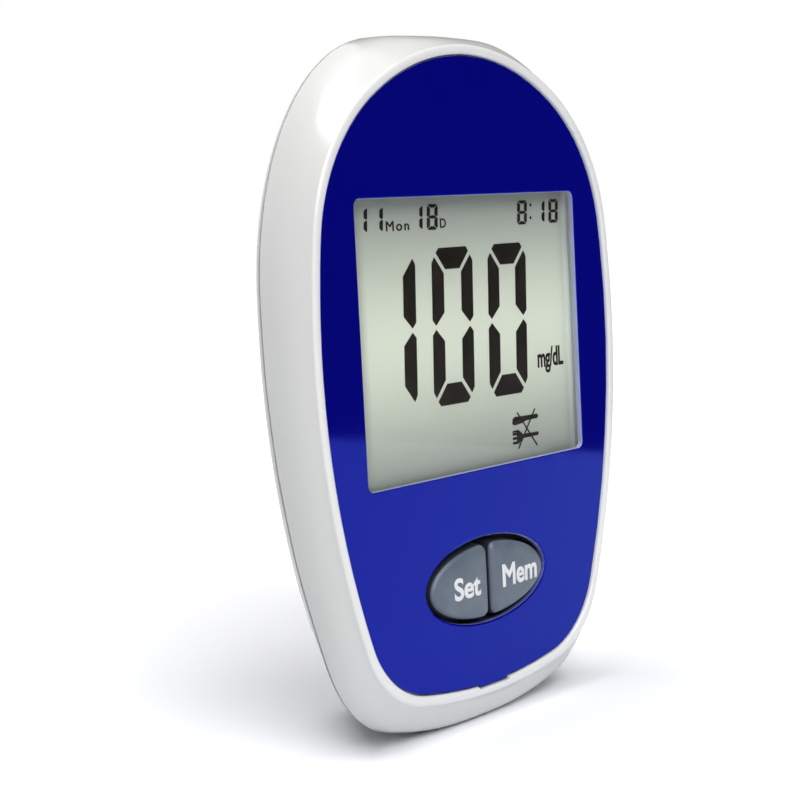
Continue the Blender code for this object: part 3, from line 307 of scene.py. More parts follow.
letterInk = {
    "colour": (0.98, 0.99, 1.0),
    "thinColour": (0.86, 0.89, 0.93),
    "roughness": 0.45,
    "speckSize": 4200.0,
    "speckRange": (0.42, 0.72),
    "speckRoughness": 0.15,
    "speckStrength": 0.4,
    "speckDepth": 0.000004,
}


def makeLetterInk(name, look):
    f = Finish(name)
    speck = f.spread(f.noise(look["speckSize"], 3.0), *look["speckRange"])
    return f.done(f.shine({
        "Base Color": f.mix(speck, look["colour"], look["thinColour"]),
        "Roughness": speck * look["speckRoughness"] + look["roughness"],
        "Normal": f.bump(speck, look["speckStrength"], look["speckDepth"]),
    }))


displayLook = {
    "middle": 0.0501,                 # height of the painted light band, its brightest part
    "reach": 0.0195,                  # from there to the painted shade above and below
    "litMiddleColour": (0.98, 1.0, 0.87),
    "shadedEndColour": (0.41, 0.425, 0.4),
    "shadeColour": (0.3, 0.32, 0.3),
    "shadeStart": -0.0184,            # the shade along the left edge
    "shadeEnd": -0.0206,
    "shadeShare": 0.6,
    "glow": (0.27, 0.285, 0.25),
    "endGlow": (0.13, 0.135, 0.13),
    "glowStart": 0.0216,              # painted light: the right edge gets a faint glow that offsets the shade of the window
    "glowEnd": 0.023,
    "roughness": 0.42,
    "speckSize": 3600.0,
    "speckRoughness": 0.1,
    "speckStrength": 0.2,
    "speckDepth": 0.000002,
}


def makeDisplayGrey(name, look):
    f = Finish(name)
    x, y, z = f.axes()
    # Painted light and shade: a light band across the middle, darker above and below.
    band = f.spread(abs(z - look["middle"]), 0.0, look["reach"])
    shade = f.spread(x, look["shadeStart"], look["shadeEnd"]) * look["shadeShare"]
    glowing = f.spread(x, look["glowStart"], look["glowEnd"])
    speck = f.noise(look["speckSize"], 2.0)
    grey = f.mix(band, look["litMiddleColour"], look["shadedEndColour"])
    glow = f.mix(band, look["glow"], look["endGlow"])
    return f.done(f.shine({
        "Base Color": f.mix(shade, grey, look["shadeColour"]),
        "Emission Color": f.mix(glowing, (0.0, 0.0, 0.0), glow),
        "Emission Strength": 1.0,
        "Roughness": speck * look["speckRoughness"] + look["roughness"],
        "Normal": f.bump(speck, look["speckStrength"], look["speckDepth"]),
    }))


segmentInk = {
    "colour": (0.0095, 0.0075, 0.006),
    "warmColour": (0.016, 0.008, 0.0065),
    "cloudSize": 420.0,
    "cloudRange": (0.35, 0.7),
    "cloudRoughness": 0.1,
    "roughness": 0.4,
    "specular": 0.3,
}


def makeSegmentInk(name, look):
    f = Finish(name)
    cloud = f.spread(f.noise(look["cloudSize"], 3.0), *look["cloudRange"])
    return f.done(f.shine({
        "Base Color": f.mix(cloud, look["colour"], look["warmColour"]),
        "Roughness": cloud * look["cloudRoughness"] + look["roughness"],
        "Specular IOR Level": look["specular"],
    }))


clearPane = {
    "tint": (0.97, 0.985, 0.975),
    "mirrorColour": (0.9, 0.93, 0.95),
    "ior": 1.28,
    "roughness": (0.02, 0.05),
    "smearSize": 110.0,
    "smearStretch": (1.0, 1.0, 2.0),
    "smearRange": (0.35, 0.8),
}


def makeClearPane(name, look):
    # The pane lets nearly all light pass and mirrors a little, more at a flat angle.
    f = Finish(name)
    smear = f.noise(look["smearSize"], 4.0, look["smearStretch"])
    behind = f.add("ShaderNodeNewGeometry", output=6)
    mirror = f.add("ShaderNodeFresnel", None, {"IOR": look["ior"]}) * (1 - behind)
    clear = f.add("ShaderNodeBsdfTransparent", None, {"Color": opaque(look["tint"])})
    glossy = f.shine({
        "Base Color": opaque(look["mirrorColour"]),
        "Metallic": 1.0,
        "Roughness": f.spread(smear, *look["smearRange"], *look["roughness"]),
    })
    return f.done(f.add("ShaderNodeMixShader", None, {0: mirror, 1: clear, 2: glossy}))


mouldedBlack = {
    "plain": {"colour": (0.024, 0.024, 0.027), "roughness": 0.42},
    "chip": {"colour": (0.016, 0.016, 0.018), "roughness": 0.5},
    "plunger": {"colour": (0.03, 0.03, 0.032), "roughness": 0.3},
    "paler": 1.5,
    "cloudSize": 130.0,
    "grainSize": 2600.0,
    "grainRoughness": 0.16,
    "grainStrength": 0.4,
    "grainDepth": 0.000008,
}


def makeMouldedBlack(name, kind, look):
    f = Finish(name)
    colour, roughness = look[kind]["colour"], look[kind]["roughness"]
    grain = f.noise(look["grainSize"], 3.0)
    cloud = f.noise(look["cloudSize"], 2.0)
    return f.done(f.shine({
        "Base Color": f.mix(cloud, colour, tuple(c * look["paler"] for c in colour)),
        "Roughness": grain * look["grainRoughness"] + roughness,
        "Normal": f.bump(grain, look["grainStrength"], look["grainDepth"]),
    }))


metals = {
    "nickel": {"colour": (0.72, 0.7, 0.66), "stainColour": (0.56, 0.54, 0.5), "roughness": 0.2,
               "streak": (1.0, 1.0, 6.0)},
    "gold": {"colour": (0.83, 0.6, 0.24), "stainColour": (0.66, 0.45, 0.18), "roughness": 0.2,
             "streak": (1.0, 1.0, 1.0)},
    "steel": {"colour": (0.5, 0.5, 0.52), "stainColour": (0.32, 0.32, 0.34), "roughness": 0.26,
              "streak": (1.0, 1.0, 1.0)},
    "grainSize": 2400.0,
    "grainRoughness": 0.14,
    "grainStrength": 0.35,
    "grainDepth": 0.000003,
    "stainSize": 230.0,
    "stainRange": (0.4, 0.75),
    "stainRoughness": 0.08,
    "recessColour": (0.02, 0.02, 0.022),
    "recessDepth": 0.00025,           # deeper than this in a screw's head no light reaches
}


def makeMetal(name, kind, look, darkBelow=-1.0):
    f = Finish(name)
    metal = look[kind]
    brushed = f.noise(look["grainSize"], 4.0, metal["streak"])
    stain = f.spread(f.noise(look["stainSize"], 3.0), *look["stainRange"])
    deep = f.axes()[1] < darkBelow
    worn = brushed * look["grainRoughness"] + stain * look["stainRoughness"]
    return f.done(f.shine({
        "Base Color": f.mix(deep, f.mix(stain, metal["colour"], metal["stainColour"]), look["recessColour"]),
        "Metallic": 1.0,
        "Roughness": worn + metal["roughness"],
        "Normal": f.bump(brushed, look["grainStrength"], look["grainDepth"]),
    }))


contactRubber = {
    "colour": (0.46, 0.28, 0.26),
    "stripeColour": (0.06, 0.055, 0.06),
    "stripes": 6000.0,
    "stripeRange": (0.1, 0.6),
    "stripeRoughness": 0.1,
    "roughness": 0.6,
}


def makeContactRubber(name, look):
    # Thin carbon layers run through the strip, one beside the other.
    f = Finish(name)
    wave = f.add("ShaderNodeMath", {"operation": "SINE"}, {0: f.axes()[0] * look["stripes"]})
    stripe = f.spread(wave, *look["stripeRange"])
    return f.done(f.shine({
        "Base Color": f.mix(stripe, look["colour"], look["stripeColour"]),
        "Roughness": stripe * look["stripeRoughness"] + look["roughness"],
    }))


boardLook = {
    # the solder mask's colour
    "maskAndGapShadeColour": (0.008, 0.12, 0.042),
    "traceColour": (0.014, 0.2, 0.07),
    "padColour": (0.62, 0.44, 0.16),
    "edgeColour": (0.32, 0.27, 0.14),
    "frontFrom": 0.5,
    "trackPitch": 620.0,
    "trackScale": 0.45,
    "trackDisorder": 0.7,
    "trackGap": 0.12,
    "trackRange": (0.05, 0.07),
    "trackStrength": 0.5,
    "trackDepth": 0.00003,
    "viaScale": 0.8,
    "viaSize": 0.1,
    "viaRoughness": -0.1,
    "roughness": 0.38,
}


def makeBoard(name, look):
    # Tracks show as a paler green under the mask, and a few vias and pads are bare.
    f = Finish(name)
    face = abs(f.axes(1)[1]) > look["frontFrom"]
    x, y, z = f.axes()
    flat = f.add("ShaderNodeCombineXYZ", None, {0: x * look["trackPitch"], 1: z * look["trackPitch"]})
    far = f.add("ShaderNodeTexVoronoi", {"distance": "CHEBYCHEV", "feature": "F1"},
                {"Vector": flat, "Scale": look["trackScale"], "Randomness": look["trackDisorder"]})
    folded = f.add("ShaderNodeMath", {"operation": "PINGPONG"}, {0: far, 1: look["trackGap"]})
    track = f.spread(folded, *look["trackRange"])
    dots = f.add("ShaderNodeTexVoronoi", {"feature": "F1"}, {"Vector": flat, "Scale": look["viaScale"]})
    via = (dots < look["viaSize"]) * face
    green = f.mix(track, look["maskAndGapShadeColour"], look["traceColour"])
    plated = f.mix(via, green, look["padColour"])
    return f.done(f.shine({
        "Base Color": f.mix(face, look["edgeColour"], plated),
        "Metallic": via,
        "Roughness": via * look["viaRoughness"] + look["roughness"],
        "Normal": f.bump(track, look["trackStrength"], look["trackDepth"]),
    }))


cellLook = {
    "sleeveColour": (0.018, 0.022, 0.03),
    "bandColour": (0.55, 0.33, 0.09),
    "metalColour": (0.62, 0.6, 0.57),
    "bandLength": 0.0105,
    "bandMetal": 0.7,
    "lineRange": (0.0006, 0.0011),    # a thin copper line, from the band's edge on
    "capLength": 0.0017,
    "footLength": 0.0009,
    "roughness": 0.24,
    "wrinkleSize": 700.0,
    "wrinkleRoughness": 0.12,
    "wrinkleStrength": 0.2,
    "wrinkleDepth": 0.00001,
}


def makeCellSleeve(name, node, nubUp, look):
    # A printed sleeve with a copper band at the nub's end, and bare steel at both ends.
    low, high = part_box(node)
    f = Finish(name)
    z = f.axes()[2]
    fromNub = (high.z - z) if nubUp else (z - low.z)
    fromFoot = (z - low.z) if nubUp else (high.z - z)
    band = fromNub < look["bandLength"]
    bare = {0: fromNub < look["capLength"], 1: fromFoot < look["footLength"]}
    steelEnds = f.add("ShaderNodeMath", {"operation": "MAXIMUM"}, bare)
    lineLow, lineHigh = [look["bandLength"] + edge for edge in look["lineRange"]]
    line = (fromNub > lineLow) * (fromNub < lineHigh)
    printed = f.mix(band, look["sleeveColour"], look["bandColour"])
    lined = f.mix(line, printed, look["bandColour"])
    wrinkle = f.noise(look["wrinkleSize"], 3.0)
    shiny = {0: band * look["bandMetal"], 1: steelEnds}
    return f.done(f.shine({
        "Base Color": f.mix(steelEnds, lined, look["metalColour"]),
        "Metallic": f.add("ShaderNodeMath", {"operation": "MAXIMUM"}, shiny),
        "Roughness": wrinkle * look["wrinkleRoughness"] + look["roughness"],
        "Normal": f.bump(wrinkle, look["wrinkleStrength"], look["wrinkleDepth"]),
    }))


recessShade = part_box("housing_screw_1")[1].y - metals["recessDepth"]
steel = makeMetal("screwSteel", "steel", metals, recessShade)
ink = makeLetterInk("letterInk", letterInk)
segmentBlack = makeSegmentInk("segmentInk", segmentInk)

dress(makeWhitePlastic("whiteHousing", whitePlastic), "front_housing", "rear_housing")
dress(makeWhitePlastic("whiteDoor", whitePlastic, whitePlastic["doorGrain"]), "battery_door")
dress(makeBluePlate("bluePlate", facePlate), "faceplate")
dress(makeKeyRubber("keyRubber", keyRubber), "left_key", "right_key")
dress(makeDisplayGrey("displayGrey", displayLook), "lcd_glass")
dress(makeClearPane("clearPane", clearPane), "display_window")
dress(makeMouldedBlack("blackPlastic", "plain", mouldedBlack),
      "lcd_holder", "strip_socket", "sounder", "left_switch", "right_switch")
dress(makeMouldedBlack("plungerBlack", "plunger", mouldedBlack), "left_plunger", "right_plunger")
dress(makeMouldedBlack("chipBlack", "chip", mouldedBlack), "controller_chip")
dress(makeContactRubber("contactRubber", contactRubber), "contact_strip")
dress(makeBoard("boardGreen", boardLook), "main_board")
dress(makeMetal("nickel", "nickel", metals),
      "quartz_crystal", "upper_spring", "lower_spring", "terminal_left", "terminal_right", "bridge_plate")
dress(makeMetal("goldContact", "gold", metals), "strip_contact_1", "strip_contact_2", "strip_contact_3")
dress(steel, *[f"housing_screw_{index}" for index in range(1, 5)])
dress(makeCellSleeve("leftCell", "battery_left", True, cellLook), "battery_left")
dress(makeCellSleeve("rightCell", "battery_right", False, cellLook), "battery_right")
print("finishes on all", len(nodes), "pieces")


def settle(piece, finish, body):
    # Puts the piece's place into its mesh, gives it its finish and lets it ride.
    bpy.ops.object.select_all(action="DESELECT")
    piece.select_set(True)
    bpy.context.view_layer.objects.active = piece
    if piece.type != "MESH":
        bpy.ops.object.convert(target="MESH")
    bpy.ops.object.transform_apply(location=True, rotation=True, scale=True)
    piece = bpy.context.object
    piece.data.materials.clear()
    piece.data.materials.append(finish)
    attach(piece, body)


refinedPieces = {
    # Rounds of refining, the angle past which an edge stays, and the one past which it is shaded hard.
    "front_shell": {"node": "front_housing", "rounds": 1, "hard": 50, "shade": 50, "slot": "white_housing"},
    "rear_shell": {"node": "rear_housing", "rounds": 1, "hard": 27, "shade": 35, "slot": "white_housing"},
    "door_cover": {"node": "battery_door", "rounds": 0, "hard": 50, "shade": 15, "slot": "white_housing"},
    "blue_cover": {"node": "faceplate", "rounds": 0, "hard": 50, "shade": 15, "slot": "blue_faceplate"},
    "left_keycap": {"node": "left_key", "rounds": 1, "hard": 60, "shade": 60, "slot": "key_grey"},
    "right_keycap": {"node": "right_key", "rounds": 1, "hard": 60, "shade": 60, "slot": "key_grey"},
}
refining = {
    "merge": 0.000002,                # points of a node's triangles this close are one
    "quadFace": 20.0,                 # the angles up to which two triangles become a quad
    "quadShape": 60.0,
    "plain": 0.3,                     # degrees below which an unrefined piece loses its edges
    "level": 0.003,                   # radians below which an edge lies in a flat area
    "recess": 0.0001,                 # flat areas keep their edges from here behind the faceplate's front
    "turned": -0.5,                   # cosine between a sliver and the faces beside it, and how many of those
    "turnedSides": 3,
}


def shareOf(value, start, end):
    return min(1.0, max(0.0, (value - start) / (end - start)))


def copyNode(name, node):
    # A merged copy of a moulded piece, in edit mode with all of it selected.
    piece = bpy.data.objects.new(name, nodes[node].data.copy())
    bpy.context.scene.collection.objects.link(piece)
    bpy.ops.object.select_all(action="DESELECT")
    piece.select_set(True)
    bpy.context.view_layer.objects.active = piece
    bpy.ops.mesh.customdata_custom_splitnormals_clear()
    bpy.ops.object.mode_set(mode="EDIT")
    bpy.ops.mesh.select_mode(type="EDGE")
    bpy.ops.mesh.select_all(action="SELECT")
    bpy.ops.mesh.remove_doubles(threshold=refining["merge"])
    return piece


def pickEdges(piece, wanted):
    # Selects the edges for which wanted(first end, second end, angle between its two faces) holds.
    shape = bmesh.from_edit_mesh(piece.data)
    for part in (shape.faces, shape.edges, shape.verts):
        for item in part:
            item.select_set(False)
    for edge in shape.edges:
        if len(edge.link_faces) == 2:
            edge.select_set(wanted(edge.verts[0].co, edge.verts[1].co, edge.calc_face_angle()))
    shape.select_flush_mode()
    bmesh.update_edit_mesh(piece.data)


def closeFolds(piece, look):
    # Where refining has turned a sliver over against its neighbours, the sliver shrinks to a point.
    shape = bmesh.new()
    shape.from_mesh(piece.data)
    turned = []
    for face in shape.faces:
        beside = [other for edge in face.edges for other in edge.link_faces if other is not face]
        if sum(face.normal.dot(other.normal) < look["turned"] for other in beside) >= look["turnedSides"]:
            turned.append(face)
    if turned:
        bmesh.ops.collapse(shape, edges=list({edge for face in turned for edge in face.edges}))
        shape.to_mesh(piece.data)
        print(piece.name, "has", len(turned), "turned slivers closed")
    shape.free()


wallNotch = {
    "low": 0.01195,                   # height of the notch's lower face
    "exact": 0.00001,
    "inner": 0.0251,                  # half the width at its inner end
    "wall": 0.0253,                   # from here on its points lie on the slanting outside
    "front": -0.0067,
    "back": -0.0055,
    "rise": 0.000291,
    "lean": 0.0001126,
}


def closeNotch(piece, look):
    # A 0.3 mm high notch pierces the wall low on both sides. Its lower face moves up against the upper one.
    shape = bmesh.from_edit_mesh(piece.data)
    for vertex in shape.verts:
        place = vertex.co
        atNotch = abs(place.x) > look["inner"] and look["front"] < place.y < look["back"]
        if atNotch and abs(place.z - look["low"]) < look["exact"]:
            if abs(place.x) > look["wall"]:
                place.x += look["lean"] if place.x > 0 else -look["lean"]
            place.z += look["rise"]
    bmesh.update_edit_mesh(piece.data)


def refine(name, piece, look):
    # Hard edges stay where they are, flat areas behind the faceplate too, and the curves get finer.
    if name == "front_shell":
        closeNotch(piece, wallNotch)
    if look["rounds"]:
        bpy.ops.mesh.tris_convert_to_quads(face_threshold=radians(refining["quadFace"]),
                                           shape_threshold=radians(refining["quadShape"]))
    else:
        bpy.ops.mesh.dissolve_limited(angle_limit=radians(refining["plain"]))
    hard = radians(look["hard"])
    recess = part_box("faceplate")[0].y + refining["recess"]
    pickEdges(piece, lambda a, b, angle: angle > hard
              or (angle < refining["level"] and min(a.y, b.y) > recess))
    bpy.ops.transform.edge_crease(value=1.0)
    bpy.ops.object.mode_set(mode="OBJECT")
    if look["rounds"]:
        finer = piece.modifiers.new("finer", "SUBSURF")
        finer.levels = finer.render_levels = look["rounds"]
        bpy.ops.object.modifier_apply(modifier="finer")
        closeFolds(piece, refining)


plateShape = {
    "bevels": {"outer": 0.00008, "window": 0.00015, "keys": 0.0003},
    "front": 0.00001,                 # an edge no deeper than this lies on the front
    "keyRoom": 0.001,                 # the opening reaches this far past the keys at most
    "sharp": 1.0,
    "windowShift": 0.00025,           # the window's right edge moves out by this
    "shiftStart": 0.0195,
    "shiftEnd": 0.0215,
}


def shapePlate(piece, look):
    # The window gets a little wider, and the openings of the plate get wider bevels than its outline.
    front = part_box("faceplate")[0].y + look["front"]
    keyLow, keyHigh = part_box("left_key")[0].z - look["keyRoom"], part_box("left_key")[1].z + look["keyRoom"]
    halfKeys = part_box("right_key")[1].x + look["keyRoom"]
    windowLow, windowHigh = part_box("display_window")[0].z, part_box("display_window")[1].z
    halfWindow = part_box("display_window")[1].x

    def rimOf(kind):
        def wanted(a, b, angle):
            if angle < look["sharp"] or max(a.y, b.y) > front:
                return False
            if abs(a.x) < halfKeys and keyLow < a.z < keyHigh:
                return kind == "keys"
            if abs(a.x) < halfWindow and windowLow < a.z < windowHigh:
                return kind == "window"
            return kind == "outer"
        return wanted

    for vertex in piece.data.vertices:
        if windowLow < vertex.co.z < windowHigh and vertex.co.x < halfWindow:
            vertex.co.x += look["windowShift"] * shareOf(vertex.co.x, look["shiftStart"], look["shiftEnd"])
    bpy.ops.object.mode_set(mode="EDIT")
    for kind, width in look["bevels"].items():
        pickEdges(piece, rimOf(kind))
        bpy.ops.mesh.bevel(offset=width, segments=2, loop_slide=False)
    bpy.ops.object.mode_set(mode="OBJECT")


crownFit = {
    "rise": 0.00015,
    "wide": 0.994,
    "tall": 0.985,
    "lower": 0.0001,
    "flangeRoom": 0.001,
}


def fitCrown(piece, node, look):
    # The crown stands out a little more and gets the photo's wider gap. The flange behind the deck stays.
    low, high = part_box(node)
    middle = (low.z + high.z) / 2
    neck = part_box("faceplate")[1].y
    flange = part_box("display_window")[1].y + look["flangeRoom"]
    for vertex in piece.data.vertices:
        x, y, z = vertex.co
        raised = look["rise"] * shareOf(y, neck, low.y)
        fitted = Vector((x * look["wide"], y - raised, middle + (z - middle) * look["tall"] - look["lower"]))
        vertex.co = vertex.co.lerp(fitted, shareOf(y, flange, neck))


for name, look in refinedPieces.items():
    source = nodes[look["node"]]
    piece = copyNode(name, look["node"])
    refine(name, piece, look)
    if name == "blue_cover":
        shapePlate(piece, plateShape)
    if look["slot"] == "key_grey":
        fitCrown(piece, look["node"], crownFit)
    bpy.ops.object.shade_smooth_by_angle(angle=radians(look["shade"]))
    settle(piece, source.material_slots[0].material, source["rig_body"])
    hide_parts(look["node"])
print("smooth skins on", len(refinedPieces), "pieces")


screwRecess = {
    "reach": 0.00105,                 # half the length of each bar of the cross
    "width": 0.00034,
    "depth": 0.0007,
    "above": 0.0004,
    "turn": 0.4,
    "taper": 0.45,
    "shade": 30.0,
}


def crossCutter(centre, look):
    # Two crossed bars that taper inwards, as the driver's tip does.
    bars = []
    for turn in (0.0, pi / 2):
        bpy.ops.object.select_all(action="DESELECT")
        bpy.ops.mesh.primitive_cube_add(size=1.0)
        bar = bpy.context.object
        bar.dimensions = (2 * look["reach"], look["depth"] + look["above"], look["width"])
        bar.rotation_euler = (0.0, turn + look["turn"], 0.0)
        bar.location = (centre.x, centre.y + (look["above"] - look["depth"]) / 2, centre.z)
        bpy.ops.object.transform_apply(location=False, rotation=False, scale=True)
        bpy.ops.object.mode_set(mode="EDIT")
        shape = bmesh.from_edit_mesh(bar.data)
        for vertex in shape.verts:
            if vertex.co.y < 0:
                vertex.co.x *= look["taper"]
        bmesh.update_edit_mesh(bar.data)
        bpy.ops.object.mode_set(mode="OBJECT")
        bpy.ops.object.transform_apply(location=True, rotation=True, scale=True)
        bars.append(bar)
    return bars


for index in range(1, 5):
    node = f"housing_screw_{index}"
    low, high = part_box(node)
    piece = copyNode(f"cross_screw_{index}", node)
    bpy.ops.object.mode_set(mode="OBJECT")
    for bar in crossCutter(Vector(((low.x + high.x) / 2, high.y, (low.z + high.z) / 2)), screwRecess):
        cut = piece.modifiers.new("recess", "BOOLEAN")
        cut.object = bar
        cut.operation = "DIFFERENCE"
        cut.solver = "EXACT"
        bpy.context.view_layer.objects.active = piece
        bpy.ops.object.modifier_apply(modifier="recess")
        bpy.data.objects.remove(bar)
    bpy.ops.object.select_all(action="DESELECT")
    piece.select_set(True)
    bpy.ops.object.shade_smooth_by_angle(angle=radians(screwRecess["shade"]))
    settle(piece, steel, nodes[node]["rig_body"])
    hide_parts(node)
print("cross recesses in the four screws")


def flatShapes(name, outlines, front, thickness):
    # A thin plate from closed outlines in millimetres, facing the viewer, its front at the given depth.
    curve = bpy.data.curves.new(name, "CURVE")
    curve.dimensions = "2D"
    curve.fill_mode = "BOTH"
    curve.extrude = thickness / 2
    for outline in outlines:
        line = curve.splines.new("POLY")
        line.points.add(len(outline) - 1)
        for point, (x, z) in zip(line.points, outline):
            point.co = (x / 1000, z / 1000, 0.0, 1.0)
        line.use_cyclic_u = True
    piece = bpy.data.objects.new(name, curve)
    bpy.context.scene.collection.objects.link(piece)
    piece.rotation_euler = (pi / 2, 0.0, 0.0)
    piece.location = (0.0, front + thickness / 2, 0.0)
    return piece


segmentShapes = {
    # Shares of half the digit's width and half its height.
    "top": [(-0.664, 1.0), (0.664, 1.0), (0.79, 0.94), (0.35, 0.727), (-0.35, 0.727), (-0.79, 0.94)],
    "right": [(0.876, 0.889), (1.0, 0.813), (1.0, 0.096), (0.83, 0.027), (0.428, 0.182), (0.428, 0.677)],
    "middle": [(-0.74, 0.0), (-0.43, 0.125), (0.43, 0.125), (0.74, 0.0), (0.43, -0.125), (-0.43, -0.125)],
}
digitSegments = {
    "0": "top bottom left leftLow right rightLow",
    "1": "right rightLow",
    "8": "top bottom left leftLow right rightLow middle",
}
displayDigits = {
    "large": {"halfWide": 4.11, "halfHigh": 9.9, "slant": 0.046, "height": 51.4,
              "places": [("1", -13.83), ("0", -2.385), ("0", 9.06)]},
    "small": {"halfWide": 1.05, "halfHigh": 1.58, "slant": 0.075, "height": 65.2,
              "places": [("1", -18.9), ("1", -16.02), ("1", -8.5), ("8", -5.54),
                         ("8", 13.21), ("1", 17.2), ("8", 20.25)]},
    "colon": [(15.17, 66.13), (15.04, 64.44)],
    "dot": (0.2, 0.22),
    "thickness": 0.00005,
}


def digitOutlines(digit, centre, look):
    outlines = []
    for segment in digitSegments[digit].split():
        shape = segmentShapes[segment.replace("Low", "").replace("left", "right").replace("bottom", "top")]
        flipX = -1 if "left" in segment else 1
        flipZ = -1 if segment.endswith("Low") or segment == "bottom" else 1
        outline = []
        for across, up in shape:
            z = look["halfHigh"] * up * flipZ
            x = centre + look["halfWide"] * across * flipX + look["slant"] * z
            outline.append((x, look["height"] + z))
        outlines.append(outline)
    return outlines


def stroke(start, end, width):
    # A straight line with a width, as a closed outline.
    along = Vector(end) - Vector(start)
    side = Vector((-along.y, along.x)).normalized() * width / 2
    corners = (Vector(start) + side, Vector(end) + side, Vector(end) - side, Vector(start) - side)
    return [tuple(corner) for corner in corners]


inkThickness = displayDigits["thickness"]
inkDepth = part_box("lcd_glass")[0].y - inkThickness
digits = []
for size in ("large", "small"):
    for digit, centre in displayDigits[size]["places"]:
        digits += digitOutlines(digit, centre, displayDigits[size])
halfWide, halfHigh = displayDigits["dot"]
for x, z in displayDigits["colon"]:
    turns = [eighth * pi / 4 for eighth in range(8)]
    digits.append([(x + halfWide * cos(turn), z + halfHigh * sin(turn)) for turn in turns])
settle(flatShapes("display_digits", digits, inkDepth, inkThickness), segmentBlack, "meter")

mealMark = {
    "knife": [(9.0, 37.62), (9.12, 38.15), (9.55, 38.42), (11.4, 38.36), (14.6, 38.3), (14.75, 38.02),
              (14.65, 37.75), (12.1, 37.68), (10.9, 37.42), (9.75, 37.3), (9.2, 37.36)],
    "fork": [(9.0, 36.58), (10.25, 36.62), (10.75, 36.3), (11.2, 35.95), (14.6, 35.92), (14.75, 35.68),
             (14.6, 35.43), (11.2, 35.4), (10.75, 35.08), (10.2, 34.78), (8.97, 34.82), (8.97, 35.12),
             (9.9, 35.14), (9.9, 35.4), (8.98, 35.42), (8.98, 35.72), (9.9, 35.72), (9.9, 35.98),
             (8.98, 36.0), (8.98, 36.28), (9.9, 36.28), (9.9, 36.34), (9.0, 36.36)],
    "cross": [((10.13, 38.95), (14.32, 34.1)), ((14.1, 39.05), (10.1, 34.1))],
    "crossWidth": 0.2,
    "layer": 0.00001,                 # each line of the cross lies this much in front of what it crosses
}
cutlery = [mealMark["knife"], mealMark["fork"]]
settle(flatShapes("meal_mark", cutlery, inkDepth, inkThickness), segmentBlack, "meter")
for number, (start, end) in enumerate(mealMark["cross"], 1):
    line = flatShapes(f"meal_mark_line_{number}", [stroke(start, end, mealMark["crossWidth"])],
                      inkDepth - mealMark["layer"] * number, inkThickness)
    settle(line, segmentBlack, "meter")


lettering = {"merge": 0.0001}         # points of the letters this close are one, before they are scaled


def flatWords(name, words, box, front, weight, spacing=1.0):
    # Words without thickness that fill a box of millimetres, low x and z and high x and z.
    bpy.ops.object.select_all(action="DESELECT")
    bpy.ops.object.text_add()
    piece = bpy.context.object
    piece.name = name
    piece.data.body = words
    piece.data.bevel_depth = weight     # a border round each stroke makes the letters bold
    piece.data.bevel_resolution = 0
    piece.data.space_character = spacing
    bpy.ops.object.convert(target="MESH")
    piece = bpy.context.object
    bpy.ops.object.mode_set(mode="EDIT")
    bpy.ops.mesh.select_all(action="SELECT")
    bpy.ops.mesh.bisect(plane_co=(0.0, 0.0, 0.0), plane_no=(0.0, 0.0, 1.0), clear_inner=True)
    bpy.ops.mesh.select_all(action="SELECT")
    bpy.ops.transform.resize(value=(1.0, 1.0, 0.0), center_override=(0.0, 0.0, 0.0))
    bpy.ops.mesh.remove_doubles(threshold=lettering["merge"])
    bpy.ops.object.mode_set(mode="OBJECT")
    xs = [v.co.x for v in piece.data.vertices]
    zs = [v.co.y for v in piece.data.vertices]
    lowX, lowZ, highX, highZ = [value / 1000 for value in box]
    scaleX = (highX - lowX) / (max(xs) - min(xs))
    scaleZ = (highZ - lowZ) / (max(zs) - min(zs))
    piece.scale = (scaleX, scaleZ, 1.0)
    piece.location = (lowX - min(xs) * scaleX, front, lowZ - min(zs) * scaleZ)
    piece.rotation_euler = (pi / 2, 0.0, 0.0)
    bpy.ops.object.transform_apply(location=True, rotation=True, scale=True)
    return piece


def thicken(piece, thickness):
    thicker = piece.modifiers.new("thickness", "SOLIDIFY")
    thicker.thickness = thickness
    thicker.offset = -1.0
    bpy.ops.object.modifier_apply(modifier="thickness")


displayWords = {
    # Words, their box, their weight and their spacing.
    "month_word": ("Mon", (-14.46, 63.72, -10.12, 64.95), 0.012, 1.25),
    "day_word": ("D", (-4.08, 63.78, -2.9, 64.95), 0.012, 1.0),
    "unit_word": ("mg/dL", (15.25, 43.55, 21.1, 47.05), 0.022, 0.95),
}
for name, (words, box, weight, spacing) in displayWords.items():
    piece = flatWords(name, words, box, inkDepth, weight, spacing)
    thicken(piece, inkThickness)
    settle(piece, segmentBlack, "meter")
print("display segments and words in place")


keyWords = {
    "left": ("Set", (-7.6, 17.05, -2.35, 19.95)),
    "right": ("Mem", (2.3, 17.1, 9.95, 20.1)),
    "weight": 0.028,
    "front": -0.0125,                 # in front of the keys, from where the letters are pressed back
    "thickness": 0.00004,
    "columns": 14,
    "rows": 6,
}


def cutFinely(box, look):
    # Cuts the letters along a grid, so that they can follow the key's dome.
    lowX, lowZ, highX, highZ = [value / 1000 for value in box]
    cuts = [((lowX + (highX - lowX) * step / look["columns"], 0.0, 0.0), (1.0, 0.0, 0.0))
            for step in range(1, look["columns"])]
    cuts += [((0.0, 0.0, lowZ + (highZ - lowZ) * step / look["rows"]), (0.0, 0.0, 1.0))
             for step in range(1, look["rows"])]
    bpy.ops.object.mode_set(mode="EDIT")
    for place, across in cuts:
        bpy.ops.mesh.select_all(action="SELECT")
        bpy.ops.mesh.bisect(plane_co=place, plane_no=across)
    bpy.ops.object.mode_set(mode="OBJECT")


